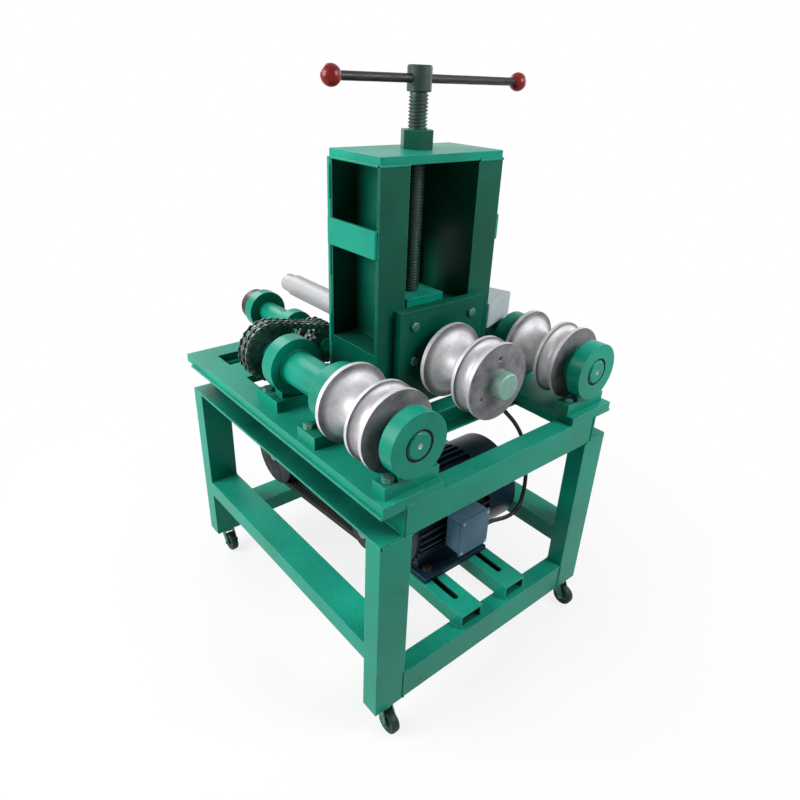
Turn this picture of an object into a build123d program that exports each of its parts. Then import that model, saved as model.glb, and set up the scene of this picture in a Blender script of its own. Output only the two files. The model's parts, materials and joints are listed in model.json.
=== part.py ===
from build123d import *
import os
from math import acos, atan2, cos, hypot, pi, radians, sin, sqrt, tan

os.makedirs("parts", exist_ok=True)

# Three-roller pipe bender. Millimetres, +Z up, the operator stands at -Y.
# The origin is on the floor under the middle of the machine. Depths are counted back from the front
# plane of the stand, heights from the floor, and sideways places from the middle.

# Clearances
turning = 0.05      # radial, between a shaft and its bore
sliding = 0.3       # between faces that pass each other
air_gap = 1         # between rotor and stator

# Stand
machine_depth = 810
stand_width = 640
stand_depth = 732
caster_height = 65
leg_width = 70
leg_depth = 40
tube_wall = 4
table_height = 550      # top of the welded stand, under the base plates
channel_height = 65
channel_flange = 55
channel_wall = 5
beam_depth = 40
side_rail_bottom = 192
rail_thin = 40
front_rail_top = 136

# Motor rails
motor_rail_width = 65
motor_rail_height = 35
motor_rail_wall = 5
motor_rail_start = 10
motor_rail_slot = 14
foot_spacing = 140      # of the motor, along its shaft
motor_middle = 17.5     # sideways, of motor feet and reducer

# Base plates
plate_thickness = 18
plate_width = 132
plate_inset = 4         # from the stand's side
plate_depth = 760
notch_reach = 78
rear_notch = (643, 707)
jack_plate_reach = 139
jack_plate_start = 570

# Roller set
roller_half_span = 242
lower_axis_rise = 90        # lower shafts above the base plates
centre_axis_rise = 23       # centre shaft above the lower ones, with the slide at rest
roller_radius = 77
front_land = 8
small_groove_radius = 16
rib_width = 7
pipe_groove_radius = 38
rear_land = 9
lower_shaft_radius = 25
centre_shaft_radius = 27.5
stub_radius = 26
stub_length = 27
tail_radius = 23
tail_length = 40
bush_wall = 6

# Lower shaft bearings, front to back
pedestal_start = 3
pedestal_depth = 30
pedestal_radius = 60
pedestal_neck = 60
pedestal_setback = 12   # of its neck and foot behind its round face
pedestal_foot_depth = 33
pedestal_counterbore = 30
front_spacer = 25
spacer_radius = 36
rear_spacer = 15
front_ring_radius = 61
front_ring_depth = 32
bearing_tube_radius = 36
bearing_tube_length = 137
rear_ring_radius = 59
rear_ring_depth = 35
foot_height = 25
front_foot_half = 66
front_foot_back = 33
rear_foot_half = 50
rear_foot_back = 46
neck_half = 32          # of the webs under the bearing rings
neck_setback = 9

# Bolts
bolt_radius = 6
bolt_head = 10          # half the width across flats
bolt_head_height = 8

# Chain drive
chain_pitch = 15.875
chain_roller = 5.1
tooth_half_width = 4.3
tooth_tip = 3.4
link_half_height = 7.4
link_inside = 4.9
link_outside = 7.4
strand_spacing = 18
big_teeth = 23
small_teeth = 15
left_chain_depth = 483
jack_chain_depth = 523
right_chain_depth = 545

# Jackshaft
jack_x = -109.5
jack_rise = 77          # above the base plates
jack_radius = 15
jack_start = 460
jack_end = 805
jack_ring_1 = (585, 612, 40)
jack_ring_2 = (728, 756, 48)
jack_tube_radius = 25
jack_foot_half = 45
jack_foot_height = 14

# Reducer
reducer_gap = 95        # from the right-hand chain back to the reducer's middle
reducer_half_depth = 50
worm_rise = 114         # above the motor rails
worm_centres = 100      # from the worm up to the output shaft
output_radius = 19
worm_shaft_radius = 14
wheel_case_radius = 95
wheel_cavity_radius = 83
worm_wheel_radius = 78
worm_radius = 20
reducer_half_width = 78
reducer_foot = 16
cover_flange = 8
cover_boss = 8

# Motor
motor_depth_place = 250
motor_axis_rise = 112   # above the motor rails
barrel_radius = 98
fin_height = 12
fin_thickness = 4
fin_count = 36
barrel_left = -90
barrel_right = 125
stator_radius = 82
rotor_radius = 57
motor_shaft_radius = 14
stator_inset = 30
shield_thickness = 25
cowl_length = 90
cowl_wall = 2.5
fan_gap = 30
fan_hub = 30
fan_width = 24
blade_middle = 50
blade_length = 60
blade_thickness = 4
foot_web_drop = 55
foot_gauge = 190        # between the motor's feet, across its shaft

# Belt drive
pulley_left = -165
pulley_width = 48
groove_spacing = 19
small_pulley_radius = 43
big_pulley_radius = 78
belt_width = 12
belt_height = 10

# Column and slide
column_front = 235
column_depth = 151
column_half_gap = 85
column_web = 7
column_half_width = 150
column_flange = 8
column_height = 498
column_foot_rise = 156  # of the left upright's closed foot, above the stand
column_foot_wall = 8
top_plate_thickness = 15
back_plate_thickness = 8
shaft_slot_half = 32
tie_bar_height = 49
tie_bar_drop = 155      # under the column's top
tie_bar_thickness = 8
slide_drop = 81         # under the centre axis
slide_height = 175
slide_plate_half = 110
slide_plate_thickness = 20
slide_plate_drop = 96
slide_plate_height = 205
front_bush_depth = 40
slide_up = 170
slide_down = 20

# Press screw
screw_radius = 18
screw_lead = 6
thread_depth = 2.4
screw_neck = 12.5
screw_collar = 24
collar_height = 22
thrust_cap_height = 16
thrust_cap_half = 48
nut_flats = 55
nut_height = 33
head_radius = 22.5
head_height = 43
head_rise = 62          # above the lead nut, with the slide at rest
bar_radius = 7.5
bar_half = 227.5
bar_offset = 37.5
knob_radius = 17.5

# Switch box and cable
box_width = 115
box_depth = 60
box_height = 54
box_rise = 40           # above the lower axes
box_wall = 3
box_turn = 18
box_corner = (158, 236)
bracket_thickness = 6
bracket_width = 34
knob_disc = 15
knob_length = 18
cable_radius = 5
gland_radius = 10
gland_length = 20
gland_inset = 12
terminal_left = -21
terminal_right = 63
terminal_front = 94
terminal_back = 138
terminal_drop = 34      # under the motor's axis
terminal_height = 90
cable_depth = 121
cable_rise = 14         # above the terminal box's bottom

# Casters
caster_plate = 4
wheel_radius = 25
wheel_half = 10
caster_trail = 22       # the wheels trail towards the operator
cheek_thickness = 3
crown_thickness = 5
axle_radius = 4

# Places worked out from the sizes above
wheel_reach = wheel_radius + caster_trail - leg_depth / 2      # of the front wheels before the stand
front_y = (wheel_reach - machine_depth) / 2
half_width = stand_width / 2
leg_inner = half_width - leg_width
beam_bottom = table_height - channel_height
web_inner = half_width - channel_flange
rear_leg = stand_depth - leg_depth
plate_top = table_height + plate_thickness
plate_inner = half_width - plate_inset - plate_width
foot_top = plate_top + foot_height
lower_axis_height = plate_top + lower_axis_rise
centre_axis_height = lower_axis_height + centre_axis_rise
jack_height = plate_top + jack_rise
chain_notch = (jack_chain_depth - 24, right_chain_depth + 17)
roller_start = pedestal_start + pedestal_depth + front_spacer
pedestal_foot_start = pedestal_start + pedestal_setback
narrow_middle = roller_start + front_land + small_groove_radius
wide_middle = narrow_middle + small_groove_radius + rib_width + pipe_groove_radius
roller_end = wide_middle + pipe_groove_radius + rear_land
ring_1_start = roller_end + rear_spacer
tube_start = ring_1_start + front_ring_depth
tube_end = tube_start + bearing_tube_length
ring_2_end = tube_end + rear_ring_depth
bush_radius = lower_shaft_radius + bush_wall
left_shaft_end = left_chain_depth + strand_spacing / 2 + 28
right_shaft_end = right_chain_depth + 25
big_pitch_radius = chain_pitch / 2 / sin(pi / big_teeth)
small_pitch_radius = chain_pitch / 2 / sin(pi / small_teeth)
left_axis = (-roller_half_span, lower_axis_height)
right_axis = (roller_half_span, lower_axis_height)
jack_axis = (jack_x, jack_height)
motor_rail_bottom = front_rail_top
motor_rail_top = front_rail_top + motor_rail_height
motor_axis_height = motor_rail_top + motor_axis_rise
terminal_bottom = motor_axis_height - terminal_drop
terminal_top = terminal_bottom + terminal_height
cable_height = terminal_bottom + cable_rise
worm_height = motor_rail_top + worm_rise
output_height = worm_height + worm_centres
output_axis = (motor_middle, output_height)
reducer_depth_place = right_chain_depth + reducer_gap
rail_places = (motor_middle - foot_spacing / 2, motor_middle + foot_spacing / 2)
motor_feet = (motor_depth_place - foot_gauge / 2, motor_depth_place + foot_gauge / 2)
column_back = column_front + column_depth
column_middle = column_front + column_depth / 2 + 8.5
column_top = table_height + column_height
column_foot_top = table_height + column_foot_rise
tie_bar_bottom = column_top - tie_bar_drop
slide_bottom = centre_axis_height - slide_drop
slide_plate_bottom = centre_axis_height - slide_plate_drop
slide_top = slide_bottom + slide_height
slide_front = column_front - sliding
slide_back = column_back - sliding
slide_half = column_half_gap - sliding
slide_plate_front = slide_front - slide_plate_thickness
front_bush_end = slide_front + front_bush_depth
nut_bottom = column_top + top_plate_thickness
head_bottom = nut_bottom + nut_height + head_rise
head_middle = head_bottom + head_height / 2
box_bottom = lower_axis_height + box_rise
pulley_middle = pulley_left + pulley_width / 2
foot_bolts = [
    (roller_half_span + across, depth)
    for across, depth in (
        (-40, pedestal_foot_start + pedestal_foot_depth / 2),
        (40, pedestal_foot_start + pedestal_foot_depth / 2),
        (-50, tube_start + 17),
        (50, tube_start + 17),
        (-36, ring_2_end + 23),
        (36, ring_2_end + 23),
    )
]
jack_bolt_depths = (jack_ring_1[1] + 33, jack_ring_2[0] - 28)
jack_bolts = [(jack_x + across, depth) for across in (-34, 34) for depth in jack_bolt_depths]
motor_bolts = [(x, depth) for x in rail_places for depth in motor_feet]
reducer_bolts = [
    (x, reducer_depth_place + across)
    for x in rail_places
    for across in (-reducer_half_depth - 14, reducer_half_depth + 14)
]
motor_foot_height = 12
caster_places = {
    "front_left": (-half_width + leg_width / 2, leg_depth / 2),
    "front_right": (half_width - leg_width / 2, leg_depth / 2),
    "rear_left": (-half_width + leg_width / 2, stand_depth - leg_depth / 2),
    "rear_right": (half_width - leg_width / 2, stand_depth - leg_depth / 2),
}


# Shapes that many pieces share
def slab(x0, x1, d0, d1, z0, z1, mode=Mode.ADD):
    """A square-edged block between two sideways places, depths and heights."""
    with Locations(((x0 + x1) / 2, front_y + (d0 + d1) / 2, (z0 + z1) / 2)):
        Box(abs(x1 - x0), d1 - d0, z1 - z0, mode=mode)


def bar_x(depth, z, radius, x0, x1, mode=Mode.ADD):
    """A round bar that lies sideways."""
    with Locations(((x0 + x1) / 2, front_y + depth, z)):
        Cylinder(radius, x1 - x0, rotation=(0, 90, 0), mode=mode)


def bar_y(x, z, radius, d0, d1, mode=Mode.ADD):
    """A round bar that lies front to back."""
    with Locations((x, front_y + (d0 + d1) / 2, z)):
        Cylinder(radius, d1 - d0, rotation=(90, 0, 0), mode=mode)


def bar_z(x, depth, radius, z0, z1, mode=Mode.ADD):
    """A round bar that stands up."""
    with Locations((x, front_y + depth, (z0 + z1) / 2)):
        Cylinder(radius, z1 - z0, mode=mode)


def facing(depth):
    """The upright plane at a depth: its x is sideways, its y is up, and it looks to the front."""
    return Plane((0, front_y + depth, 0), x_dir=(1, 0, 0), z_dir=(0, -1, 0))


def side_plane(x):
    """The upright plane at a sideways place: its x runs back and its y is up."""
    return Plane((x, 0, 0), x_dir=(0, 1, 0), z_dir=(1, 0, 0))


def tangent_points(centre_1, radius_1, centre_2, radius_2):
    """Where the outer tangents of two circles touch them, and the far end of each circle."""
    angle = atan2(centre_2[1] - centre_1[1], centre_2[0] - centre_1[0])
    spread = acos((radius_1 - radius_2) / hypot(centre_2[0] - centre_1[0], centre_2[1] - centre_1[1]))

    def rim(centre, radius, turn):
        return (centre[0] + radius * cos(turn), centre[1] + radius * sin(turn))

    upper = (rim(centre_1, radius_1, angle + spread), rim(centre_2, radius_2, angle + spread))
    lower = (rim(centre_1, radius_1, angle - spread), rim(centre_2, radius_2, angle - spread))
    return upper, lower, rim(centre_1, radius_1, angle + pi), rim(centre_2, radius_2, angle)


def loop_face(plane, centre_1, radius_1, centre_2, radius_2):
    """The outline of a tight loop around two wheels, as a face."""
    upper, lower, far_1, far_2 = tangent_points(centre_1, radius_1, centre_2, radius_2)
    with BuildSketch(plane) as loop:
        with BuildLine():
            Line(upper[0], upper[1])
            ThreePointArc(upper[1], far_2, lower[1])
            Line(lower[1], lower[0])
            ThreePointArc(lower[0], far_1, upper[0])
        make_face()
    return loop.sketch


def chain_strand(depth, centre_1, radius_1, centre_2, radius_2):
    """The two rows of side links of one chain strand."""
    for inside, outside in ((-link_outside, -link_inside), (link_inside, link_outside)):
        plane = facing(depth + outside)
        outer = loop_face(plane, centre_1, radius_1 + link_half_height, centre_2, radius_2 + link_half_height)
        inner = loop_face(plane, centre_1, radius_1 - link_half_height, centre_2, radius_2 - link_half_height)
        extrude(outer - inner, amount=outside - inside)


def chain_pins(d0, d1, centre_1, radius_1, centre_2, radius_2):
    """The rollers on the two straight runs, clear of the teeth at both ends."""
    upper, lower, far_1, far_2 = tangent_points(centre_1, radius_1, centre_2, radius_2)
    reach_1 = sqrt((radius_1 + tooth_tip + chain_roller + sliding) ** 2 - radius_1**2) + sliding
    reach_2 = sqrt((radius_2 + tooth_tip + chain_roller + sliding) ** 2 - radius_2**2) + sliding
    places = []
    for start, end in (upper, lower):
        run = hypot(end[0] - start[0], end[1] - start[1])
        count = int((run - reach_1 - reach_2) / chain_pitch)
        first = reach_1 + (run - reach_1 - reach_2 - count * chain_pitch) / 2
        for index in range(count + 1):
            share = (first + index * chain_pitch) / run
            places.append((start[0] + (end[0] - start[0]) * share, start[1] + (end[1] - start[1]) * share))
    with BuildSketch(facing(d1)) as pins:
        with Locations(*places):
            Circle(chain_roller)
    extrude(pins.sketch, amount=d1 - d0)


def toothed_disc(axis, teeth, pitch_radius, depth):
    """One row of sprocket teeth with a seat for each chain roller."""
    with BuildSketch(facing(depth + tooth_half_width)) as disc:
        with Locations(axis):
            Circle(pitch_radius + tooth_tip)
            with PolarLocations(pitch_radius, teeth):
                Circle(chain_roller + turning, mode=Mode.SUBTRACT)
    extrude(disc.sketch, amount=2 * tooth_half_width)


def hex_bolts(places, seat, tip):
    """Hexagon-headed bolts that hang from their seat down to their tip."""
    with BuildSketch(Plane.XY.offset(seat)) as heads:
        with Locations(*((x, front_y + depth) for x, depth in places)):
            RegularPolygon(bolt_head, 6, major_radius=False)
    extrude(heads.sketch, amount=bolt_head_height)
    with BuildSketch(Plane.XY.offset(tip)) as shanks:
        with Locations(*((x, front_y + depth) for x, depth in places)):
            Circle(bolt_radius)
    extrude(shanks.sketch, amount=seat - tip)


def roller_profile(axis_x, axis_z, bore):
    """A turned roller with a narrow and a wide pipe groove."""
    groove_x = axis_z + roller_radius
    with BuildSketch(side_plane(axis_x)) as section:
        with BuildLine():
            Polyline(
                (front_y + narrow_middle - small_groove_radius, groove_x),
                (front_y + roller_start, groove_x),
                (front_y + roller_start, axis_z + bore),
                (front_y + roller_end, axis_z + bore),
                (front_y + roller_end, groove_x),
                (front_y + wide_middle + pipe_groove_radius, groove_x),
            )
            ThreePointArc(
                (front_y + wide_middle + pipe_groove_radius, groove_x),
                (front_y + wide_middle, groove_x - pipe_groove_radius),
                (front_y + wide_middle - pipe_groove_radius, groove_x),
            )
            Line(
                (front_y + wide_middle - pipe_groove_radius, groove_x),
                (front_y + narrow_middle + small_groove_radius, groove_x),
            )
            ThreePointArc(
                (front_y + narrow_middle + small_groove_radius, groove_x),
                (front_y + narrow_middle, groove_x - small_groove_radius),
                (front_y + narrow_middle - small_groove_radius, groove_x),
            )
        make_face()
    revolve(section.sketch, axis=Axis((axis_x, 0, axis_z), (0, 1, 0)))


# Stand
with BuildPart() as legs:
    for side in (-1, 1):
        for start in (0, rear_leg):
            slab(side * leg_inner, side * half_width, start, start + leg_depth, caster_height, beam_bottom)
            slab(
                side * (leg_inner + tube_wall),
                side * (half_width - tube_wall),
                start + tube_wall,
                start + leg_depth - tube_wall,
                caster_height,
                beam_bottom,
                mode=Mode.SUBTRACT,
            )
legs.part.label = "legs"
export_step(legs.part, "parts/legs.step")

with BuildPart() as top_side_channels:
    for side in (-1, 1):
        slab(side * web_inner, side * half_width, 0, stand_depth, beam_bottom, table_height)
        slab(
            side * (web_inner + channel_wall),
            side * half_width,
            0,
            stand_depth,
            beam_bottom + channel_wall,
            table_height - channel_wall,
            mode=Mode.SUBTRACT,
        )
top_side_channels.part.label = "top_side_channels"
export_step(top_side_channels.part, "parts/top_side_channels.step")

# Each cross beam is a channel, given by the depth of its web's outside and the way its flanges point
beam_places = (
    (0, 1),
    (column_front + 18, -1),
    (column_back - 18, 1),
    (stand_depth, -1),
)
with BuildPart() as top_cross_beams:
    for web, way in beam_places:
        low, high = sorted((web, web + way * beam_depth))
        slab(-web_inner, web_inner, low, high, beam_bottom, table_height)
        low, high = sorted((web + way * channel_wall, web + way * beam_depth))
        slab(
            -web_inner,
            web_inner,
            low,
            high,
            beam_bottom + channel_wall,
            table_height - channel_wall,
            mode=Mode.SUBTRACT,
        )
top_cross_beams.part.label = "top_cross_beams"
export_step(top_cross_beams.part, "parts/top_cross_beams.step")

rear_rail_start = stand_depth - leg_width
rear_rail_bottom = front_rail_top - rail_thin

# Each lower rail is a tube: two corners, then the axis that its hollow runs along
rail_boxes = [
    (-half_width, -leg_inner, leg_depth, rear_leg, side_rail_bottom, side_rail_bottom + rail_thin, "depth"),
    (leg_inner, half_width, leg_depth, rear_leg, side_rail_bottom, side_rail_bottom + rail_thin, "depth"),
    (-leg_inner, leg_inner, 0, rail_thin, front_rail_top - leg_width, front_rail_top, "across"),
    (-leg_inner, leg_inner, rear_rail_start, stand_depth, rear_rail_bottom, front_rail_top, "across"),
]
with BuildPart() as lower_rails:
    for x0, x1, d0, d1, z0, z1, run in rail_boxes:
        slab(x0, x1, d0, d1, z0, z1)
        in_x = tube_wall if run == "depth" else 0
        in_d = tube_wall if run == "across" else 0
        slab(x0 + in_x, x1 - in_x, d0 + in_d, d1 - in_d, z0 + tube_wall, z1 - tube_wall, mode=Mode.SUBTRACT)
lower_rails.part.label = "lower_rails"
export_step(lower_rails.part, "parts/lower_rails.step")

motor_rail_end = stand_depth - leg_width / 2
slot_spans = (
    (motor_feet[0] - 60, motor_feet[0] + 46),
    (motor_feet[1] - 54, motor_feet[1] + 51),
    (reducer_bolts[0][1] - 25, reducer_bolts[0][1] + 25),
    (reducer_bolts[1][1] - 25, reducer_bolts[1][1] + 15),
)
with BuildPart() as motor_rails:
    for middle in rail_places:
        low, high = middle - motor_rail_width / 2, middle + motor_rail_width / 2
        slab(low, high, motor_rail_start, motor_rail_end, motor_rail_bottom, motor_rail_top)
        slab(
            low + motor_rail_wall,
            high - motor_rail_wall,
            motor_rail_start,
            motor_rail_end,
            motor_rail_bottom,
            motor_rail_top - motor_rail_wall,
            mode=Mode.SUBTRACT,
        )
        for start, end in slot_spans:
            slab(
                middle - motor_rail_slot / 2,
                middle + motor_rail_slot / 2,
                start,
                end,
                motor_rail_top - motor_rail_wall,
                motor_rail_top,
                mode=Mode.SUBTRACT,
            )
motor_rails.part.label = "motor_rails"
export_step(motor_rails.part, "parts/motor_rails.step")

plate_outer = half_width - plate_inset
with BuildPart() as base_plates:
    for side in (-1, 1):
        slab(side * plate_inner, side * plate_outer, 0, plate_depth, table_height, plate_top)
        for start, end in (chain_notch, rear_notch):
            slab(
                side * plate_inner,
                side * (plate_inner + notch_reach),
                start,
                end,
                table_height,
                plate_top,
                mode=Mode.SUBTRACT,
            )
        for x, depth in foot_bolts:
            bar_z(side * x, depth, bolt_radius + turning, table_height, plate_top, mode=Mode.SUBTRACT)
    jack_plate_left = -plate_inner + sliding
    jack_plate_right = -plate_inner + jack_plate_reach
    slab(jack_plate_left, jack_plate_right, jack_plate_start, plate_depth, table_height, plate_top)
    for x, depth in jack_bolts:
        bar_z(x, depth, bolt_radius + turning, table_height, plate_top, mode=Mode.SUBTRACT)
base_plates.part.label = "base_plates"
export_step(base_plates.part, "parts/base_plates.step")

# Column
with BuildPart() as column_uprights:
    for side, foot_box_top in ((-1, column_foot_top), (1, box_bottom - bracket_thickness)):
        slab(
            side * column_half_gap,
            side * column_half_width,
            column_front,
            column_back,
            table_height,
            column_top,
        )
        slab(
            side * (column_half_gap + column_web),
            side * column_half_width,
            column_front + column_flange,
            column_back - column_flange,
            table_height,
            column_top,
            mode=Mode.SUBTRACT,
        )
        slab(
            side * (column_half_gap + column_web),
            side * column_half_width,
            column_front + column_flange,
            column_back - column_flange,
            table_height,
            foot_box_top,
        )
        slab(
            side * (column_half_gap + column_web),
            side * (column_half_width - column_foot_wall),
            column_front + column_flange,
            column_back - column_flange,
            table_height,
            foot_box_top - column_foot_wall,
            mode=Mode.SUBTRACT,
        )
column_uprights.part.label = "column_uprights"
export_step(column_uprights.part, "parts/column_uprights.step")

with BuildPart() as column_top_plate:
    slab(-column_half_width, column_half_width, column_front, column_back, column_top, nut_bottom)
    bar_z(0, column_middle, screw_radius + 1, column_top, nut_bottom, mode=Mode.SUBTRACT)
    fillet(column_top_plate.edges().filter_by(Axis.Z).group_by(Axis.Y)[0], radius=tube_wall)
column_top_plate.part.label = "column_top_plate"
export_step(column_top_plate.part, "parts/column_top_plate.step")

slot_low = centre_axis_height - slide_down - shaft_slot_half - 19
slot_high = centre_axis_height + slide_up + shaft_slot_half + 7
with BuildPart() as column_back_plate:
    slab(
        -column_half_width,
        column_half_width,
        column_back,
        column_back + back_plate_thickness,
        table_height,
        column_top,
    )
    slab(
        -shaft_slot_half,
        shaft_slot_half,
        column_back,
        column_back + back_plate_thickness,
        slot_low,
        slot_high,
        mode=Mode.SUBTRACT,
    )
column_back_plate.part.label = "column_back_plate"
export_step(column_back_plate.part, "parts/column_back_plate.step")

with BuildPart() as column_tie_bars:
    for side in (-1, 1):
        slab(
            side * column_half_width,
            side * (column_half_width + tie_bar_thickness),
            column_front + 3,
            column_back - 3,
            tie_bar_bottom,
            tie_bar_bottom + tie_bar_height,
        )
column_tie_bars.part.label = "column_tie_bars"
export_step(column_tie_bars.part, "parts/column_tie_bars.step")

with BuildPart() as lead_nut:
    with BuildSketch(Plane.XY.offset(nut_bottom)):
        with Locations((0, front_y + column_middle)):
            RegularPolygon(nut_flats / 2, 6, major_radius=False)
            Circle(screw_radius + turning, mode=Mode.SUBTRACT)
    extrude(amount=nut_height)
lead_nut.part.label = "lead_nut"
export_step(lead_nut.part, "parts/lead_nut.step")

# Lower roller bearings
with BuildPart() as end_pedestals:
    for x, z in (left_axis, right_axis):
        bar_y(x, z, pedestal_radius, pedestal_start, pedestal_start + pedestal_depth)
        slab(
            x - pedestal_neck / 2,
            x + pedestal_neck / 2,
            pedestal_foot_start,
            pedestal_start + pedestal_depth,
            plate_top,
            z,
        )
        slab(
            x - pedestal_radius,
            x + pedestal_radius,
            pedestal_foot_start,
            pedestal_foot_start + pedestal_foot_depth,
            plate_top,
            plate_top + foot_height,
        )
        bar_y(
            x,
            z,
            lower_shaft_radius + turning,
            pedestal_start,
            pedestal_start + pedestal_depth,
            mode=Mode.SUBTRACT,
        )
        bar_y(x, z, pedestal_counterbore, pedestal_start, pedestal_start + 4, mode=Mode.SUBTRACT)
    for side in (-1, 1):
        for x, depth in foot_bolts[:2]:
            bar_z(
                side * x,
                depth,
                bolt_radius + turning,
                plate_top,
                plate_top + foot_height,
                mode=Mode.SUBTRACT,
            )
            bar_z(
                side * x,
                depth,
                bolt_head * 1.3,
                plate_top + foot_height,
                plate_top + foot_height + bolt_head_height * 2,
                mode=Mode.SUBTRACT,
            )
end_pedestals.part.label = "end_pedestals"
export_step(end_pedestals.part, "parts/end_pedestals.step")

with BuildPart() as bearing_housings:
    for x, z in (left_axis, right_axis):
        bar_y(x, z, front_ring_radius, ring_1_start, tube_start)
        bar_y(x, z, bearing_tube_radius, tube_start, tube_end)
        bar_y(x, z, rear_ring_radius, tube_end, ring_2_end)
        neck_start, neck_end = ring_1_start + neck_setback, tube_start - neck_setback / 2
        slab(x - neck_half, x + neck_half, neck_start, neck_end, plate_top, z)
        slab(
            x - front_foot_half,
            x + front_foot_half,
            ring_1_start + 7,
            tube_start + front_foot_back,
            plate_top,
            plate_top + foot_height,
        )
        slab(x - neck_half, x + neck_half, tube_end + neck_setback, ring_2_end, plate_top, z)
        slab(
            x - rear_foot_half,
            x + rear_foot_half,
            tube_end,
            ring_2_end + rear_foot_back,
            plate_top,
            plate_top + foot_height,
        )
        bar_y(x, z, lower_shaft_radius + 2, ring_1_start, ring_2_end, mode=Mode.SUBTRACT)
        for start, end in ((ring_1_start, tube_start), (tube_end, ring_2_end)):
            bar_y(x, z, bush_radius, start, end, mode=Mode.SUBTRACT)
    for side in (-1, 1):
        for x, depth in foot_bolts[2:]:
            bar_z(
                side * x,
                depth,
                bolt_radius + turning,
                plate_top,
                plate_top + foot_height,
                mode=Mode.SUBTRACT,
            )
bearing_housings.part.label = "bearing_housings"
export_step(bearing_housings.part, "parts/bearing_housings.step")

with BuildPart() as bearing_bushes:
    for x, z in (left_axis, right_axis):
        for start, end in ((ring_1_start, tube_start), (tube_end, ring_2_end)):
            bar_y(x, z, bush_radius - turning / 5, start, end)
            bar_y(x, z, lower_shaft_radius + turning, start, end, mode=Mode.SUBTRACT)
bearing_bushes.part.label = "bearing_bushes"
export_step(bearing_bushes.part, "parts/bearing_bushes.step")

# Jackshaft bearing
with BuildPart() as jack_housing:
    foot_start, foot_end = jack_ring_1[0], jack_ring_2[1]
    for start, end, radius in (jack_ring_1, jack_ring_2):
        bar_y(jack_x, jack_height, radius, start, end)
        slab(jack_x - 30, jack_x + 30, start, end, plate_top, jack_height)
    bar_y(jack_x, jack_height, jack_tube_radius, jack_ring_1[1], jack_ring_2[0])
    slab(
        jack_x - jack_foot_half,
        jack_x + jack_foot_half,
        foot_start,
        foot_end,
        plate_top,
        plate_top + jack_foot_height,
    )
    bar_y(jack_x, jack_height, jack_radius + turning, foot_start, foot_end, mode=Mode.SUBTRACT)
    for x, depth in jack_bolts:
        bar_z(
            x,
            depth,
            bolt_radius + turning,
            plate_top,
            plate_top + jack_foot_height,
            mode=Mode.SUBTRACT,
        )
jack_housing.part.label = "jack_housing"
export_step(jack_housing.part, "parts/jack_housing.step")

# Bolts of the fixed frame
motor_seat = motor_rail_top + motor_foot_height
reducer_seat = motor_rail_top + reducer_foot
bolt_tip = motor_rail_top - motor_rail_wall - 8
with BuildPart() as frame_bolts:
    hex_bolts([(side * x, depth) for side in (-1, 1) for x, depth in foot_bolts], foot_top, table_height)
    hex_bolts(jack_bolts, plate_top + jack_foot_height, table_height)
    hex_bolts(motor_bolts, motor_seat, bolt_tip)
    hex_bolts(reducer_bolts, reducer_seat, bolt_tip)
frame_bolts.part.label = "frame_bolts"
export_step(frame_bolts.part, "parts/frame_bolts.step")

# Lower rollers and their shafts
for name, axis, shaft_end in (("left", left_axis, left_shaft_end), ("right", right_axis, right_shaft_end)):
    x, z = axis
    with BuildPart() as shaft:
        bar_y(x, z, lower_shaft_radius, pedestal_start + 1, shaft_end)
        bar_y(x, z, spacer_radius, pedestal_start + pedestal_depth + sliding, roller_start)
        bar_y(x, z, spacer_radius, roller_end, ring_1_start - sliding)
        bar_y(x, z, lower_shaft_radius / 5, pedestal_start + 1, pedestal_start + 9, mode=Mode.SUBTRACT)
        chamfer(shaft.edges().filter_by(GeomType.CIRCLE).group_by(Axis.Y)[-1], length=2)
    shaft.part.label = name + "_shaft"
    export_step(shaft.part, "parts/" + name + "_shaft.step")

    with BuildPart() as roller:
        roller_profile(x, z, lower_shaft_radius + turning)
    roller.part.label = name + "_roller"
    export_step(roller.part, "parts/" + name + "_roller.step")

with BuildPart() as left_sprocket:
    left_strands = (left_chain_depth - strand_spacing / 2, left_chain_depth + strand_spacing / 2)
    for depth in left_strands:
        toothed_disc(left_axis, big_teeth, big_pitch_radius, depth)
    bar_y(
        *left_axis,
        big_pitch_radius - link_half_height - 2,
        left_strands[0] - tooth_half_width,
        left_strands[1] + tooth_half_width,
    )
    bar_y(*left_axis, spacer_radius, left_strands[1], left_strands[1] + 18)
    bar_y(
        *left_axis,
        lower_shaft_radius + turning,
        left_strands[0] - tooth_half_width,
        left_strands[1] + 18,
        mode=Mode.SUBTRACT,
    )
left_sprocket.part.label = "left_sprocket"
export_step(left_sprocket.part, "parts/left_sprocket.step")

with BuildPart() as right_sprocket:
    toothed_disc(right_axis, big_teeth, big_pitch_radius, right_chain_depth)
    bar_y(*right_axis, spacer_radius, right_chain_depth - 14, right_chain_depth + 14)
    bar_y(
        *right_axis,
        lower_shaft_radius + turning,
        right_chain_depth - 14,
        right_chain_depth + 14,
        mode=Mode.SUBTRACT,
    )
right_sprocket.part.label = "right_sprocket"
export_step(right_sprocket.part, "parts/right_sprocket.step")

# Jackshaft
with BuildPart() as jack_shaft:
    bar_y(*jack_axis, jack_radius, jack_start, jack_end)
    chamfer(jack_shaft.edges().filter_by(GeomType.CIRCLE), length=1.5)
jack_shaft.part.label = "jack_shaft"
export_step(jack_shaft.part, "parts/jack_shaft.step")

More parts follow.
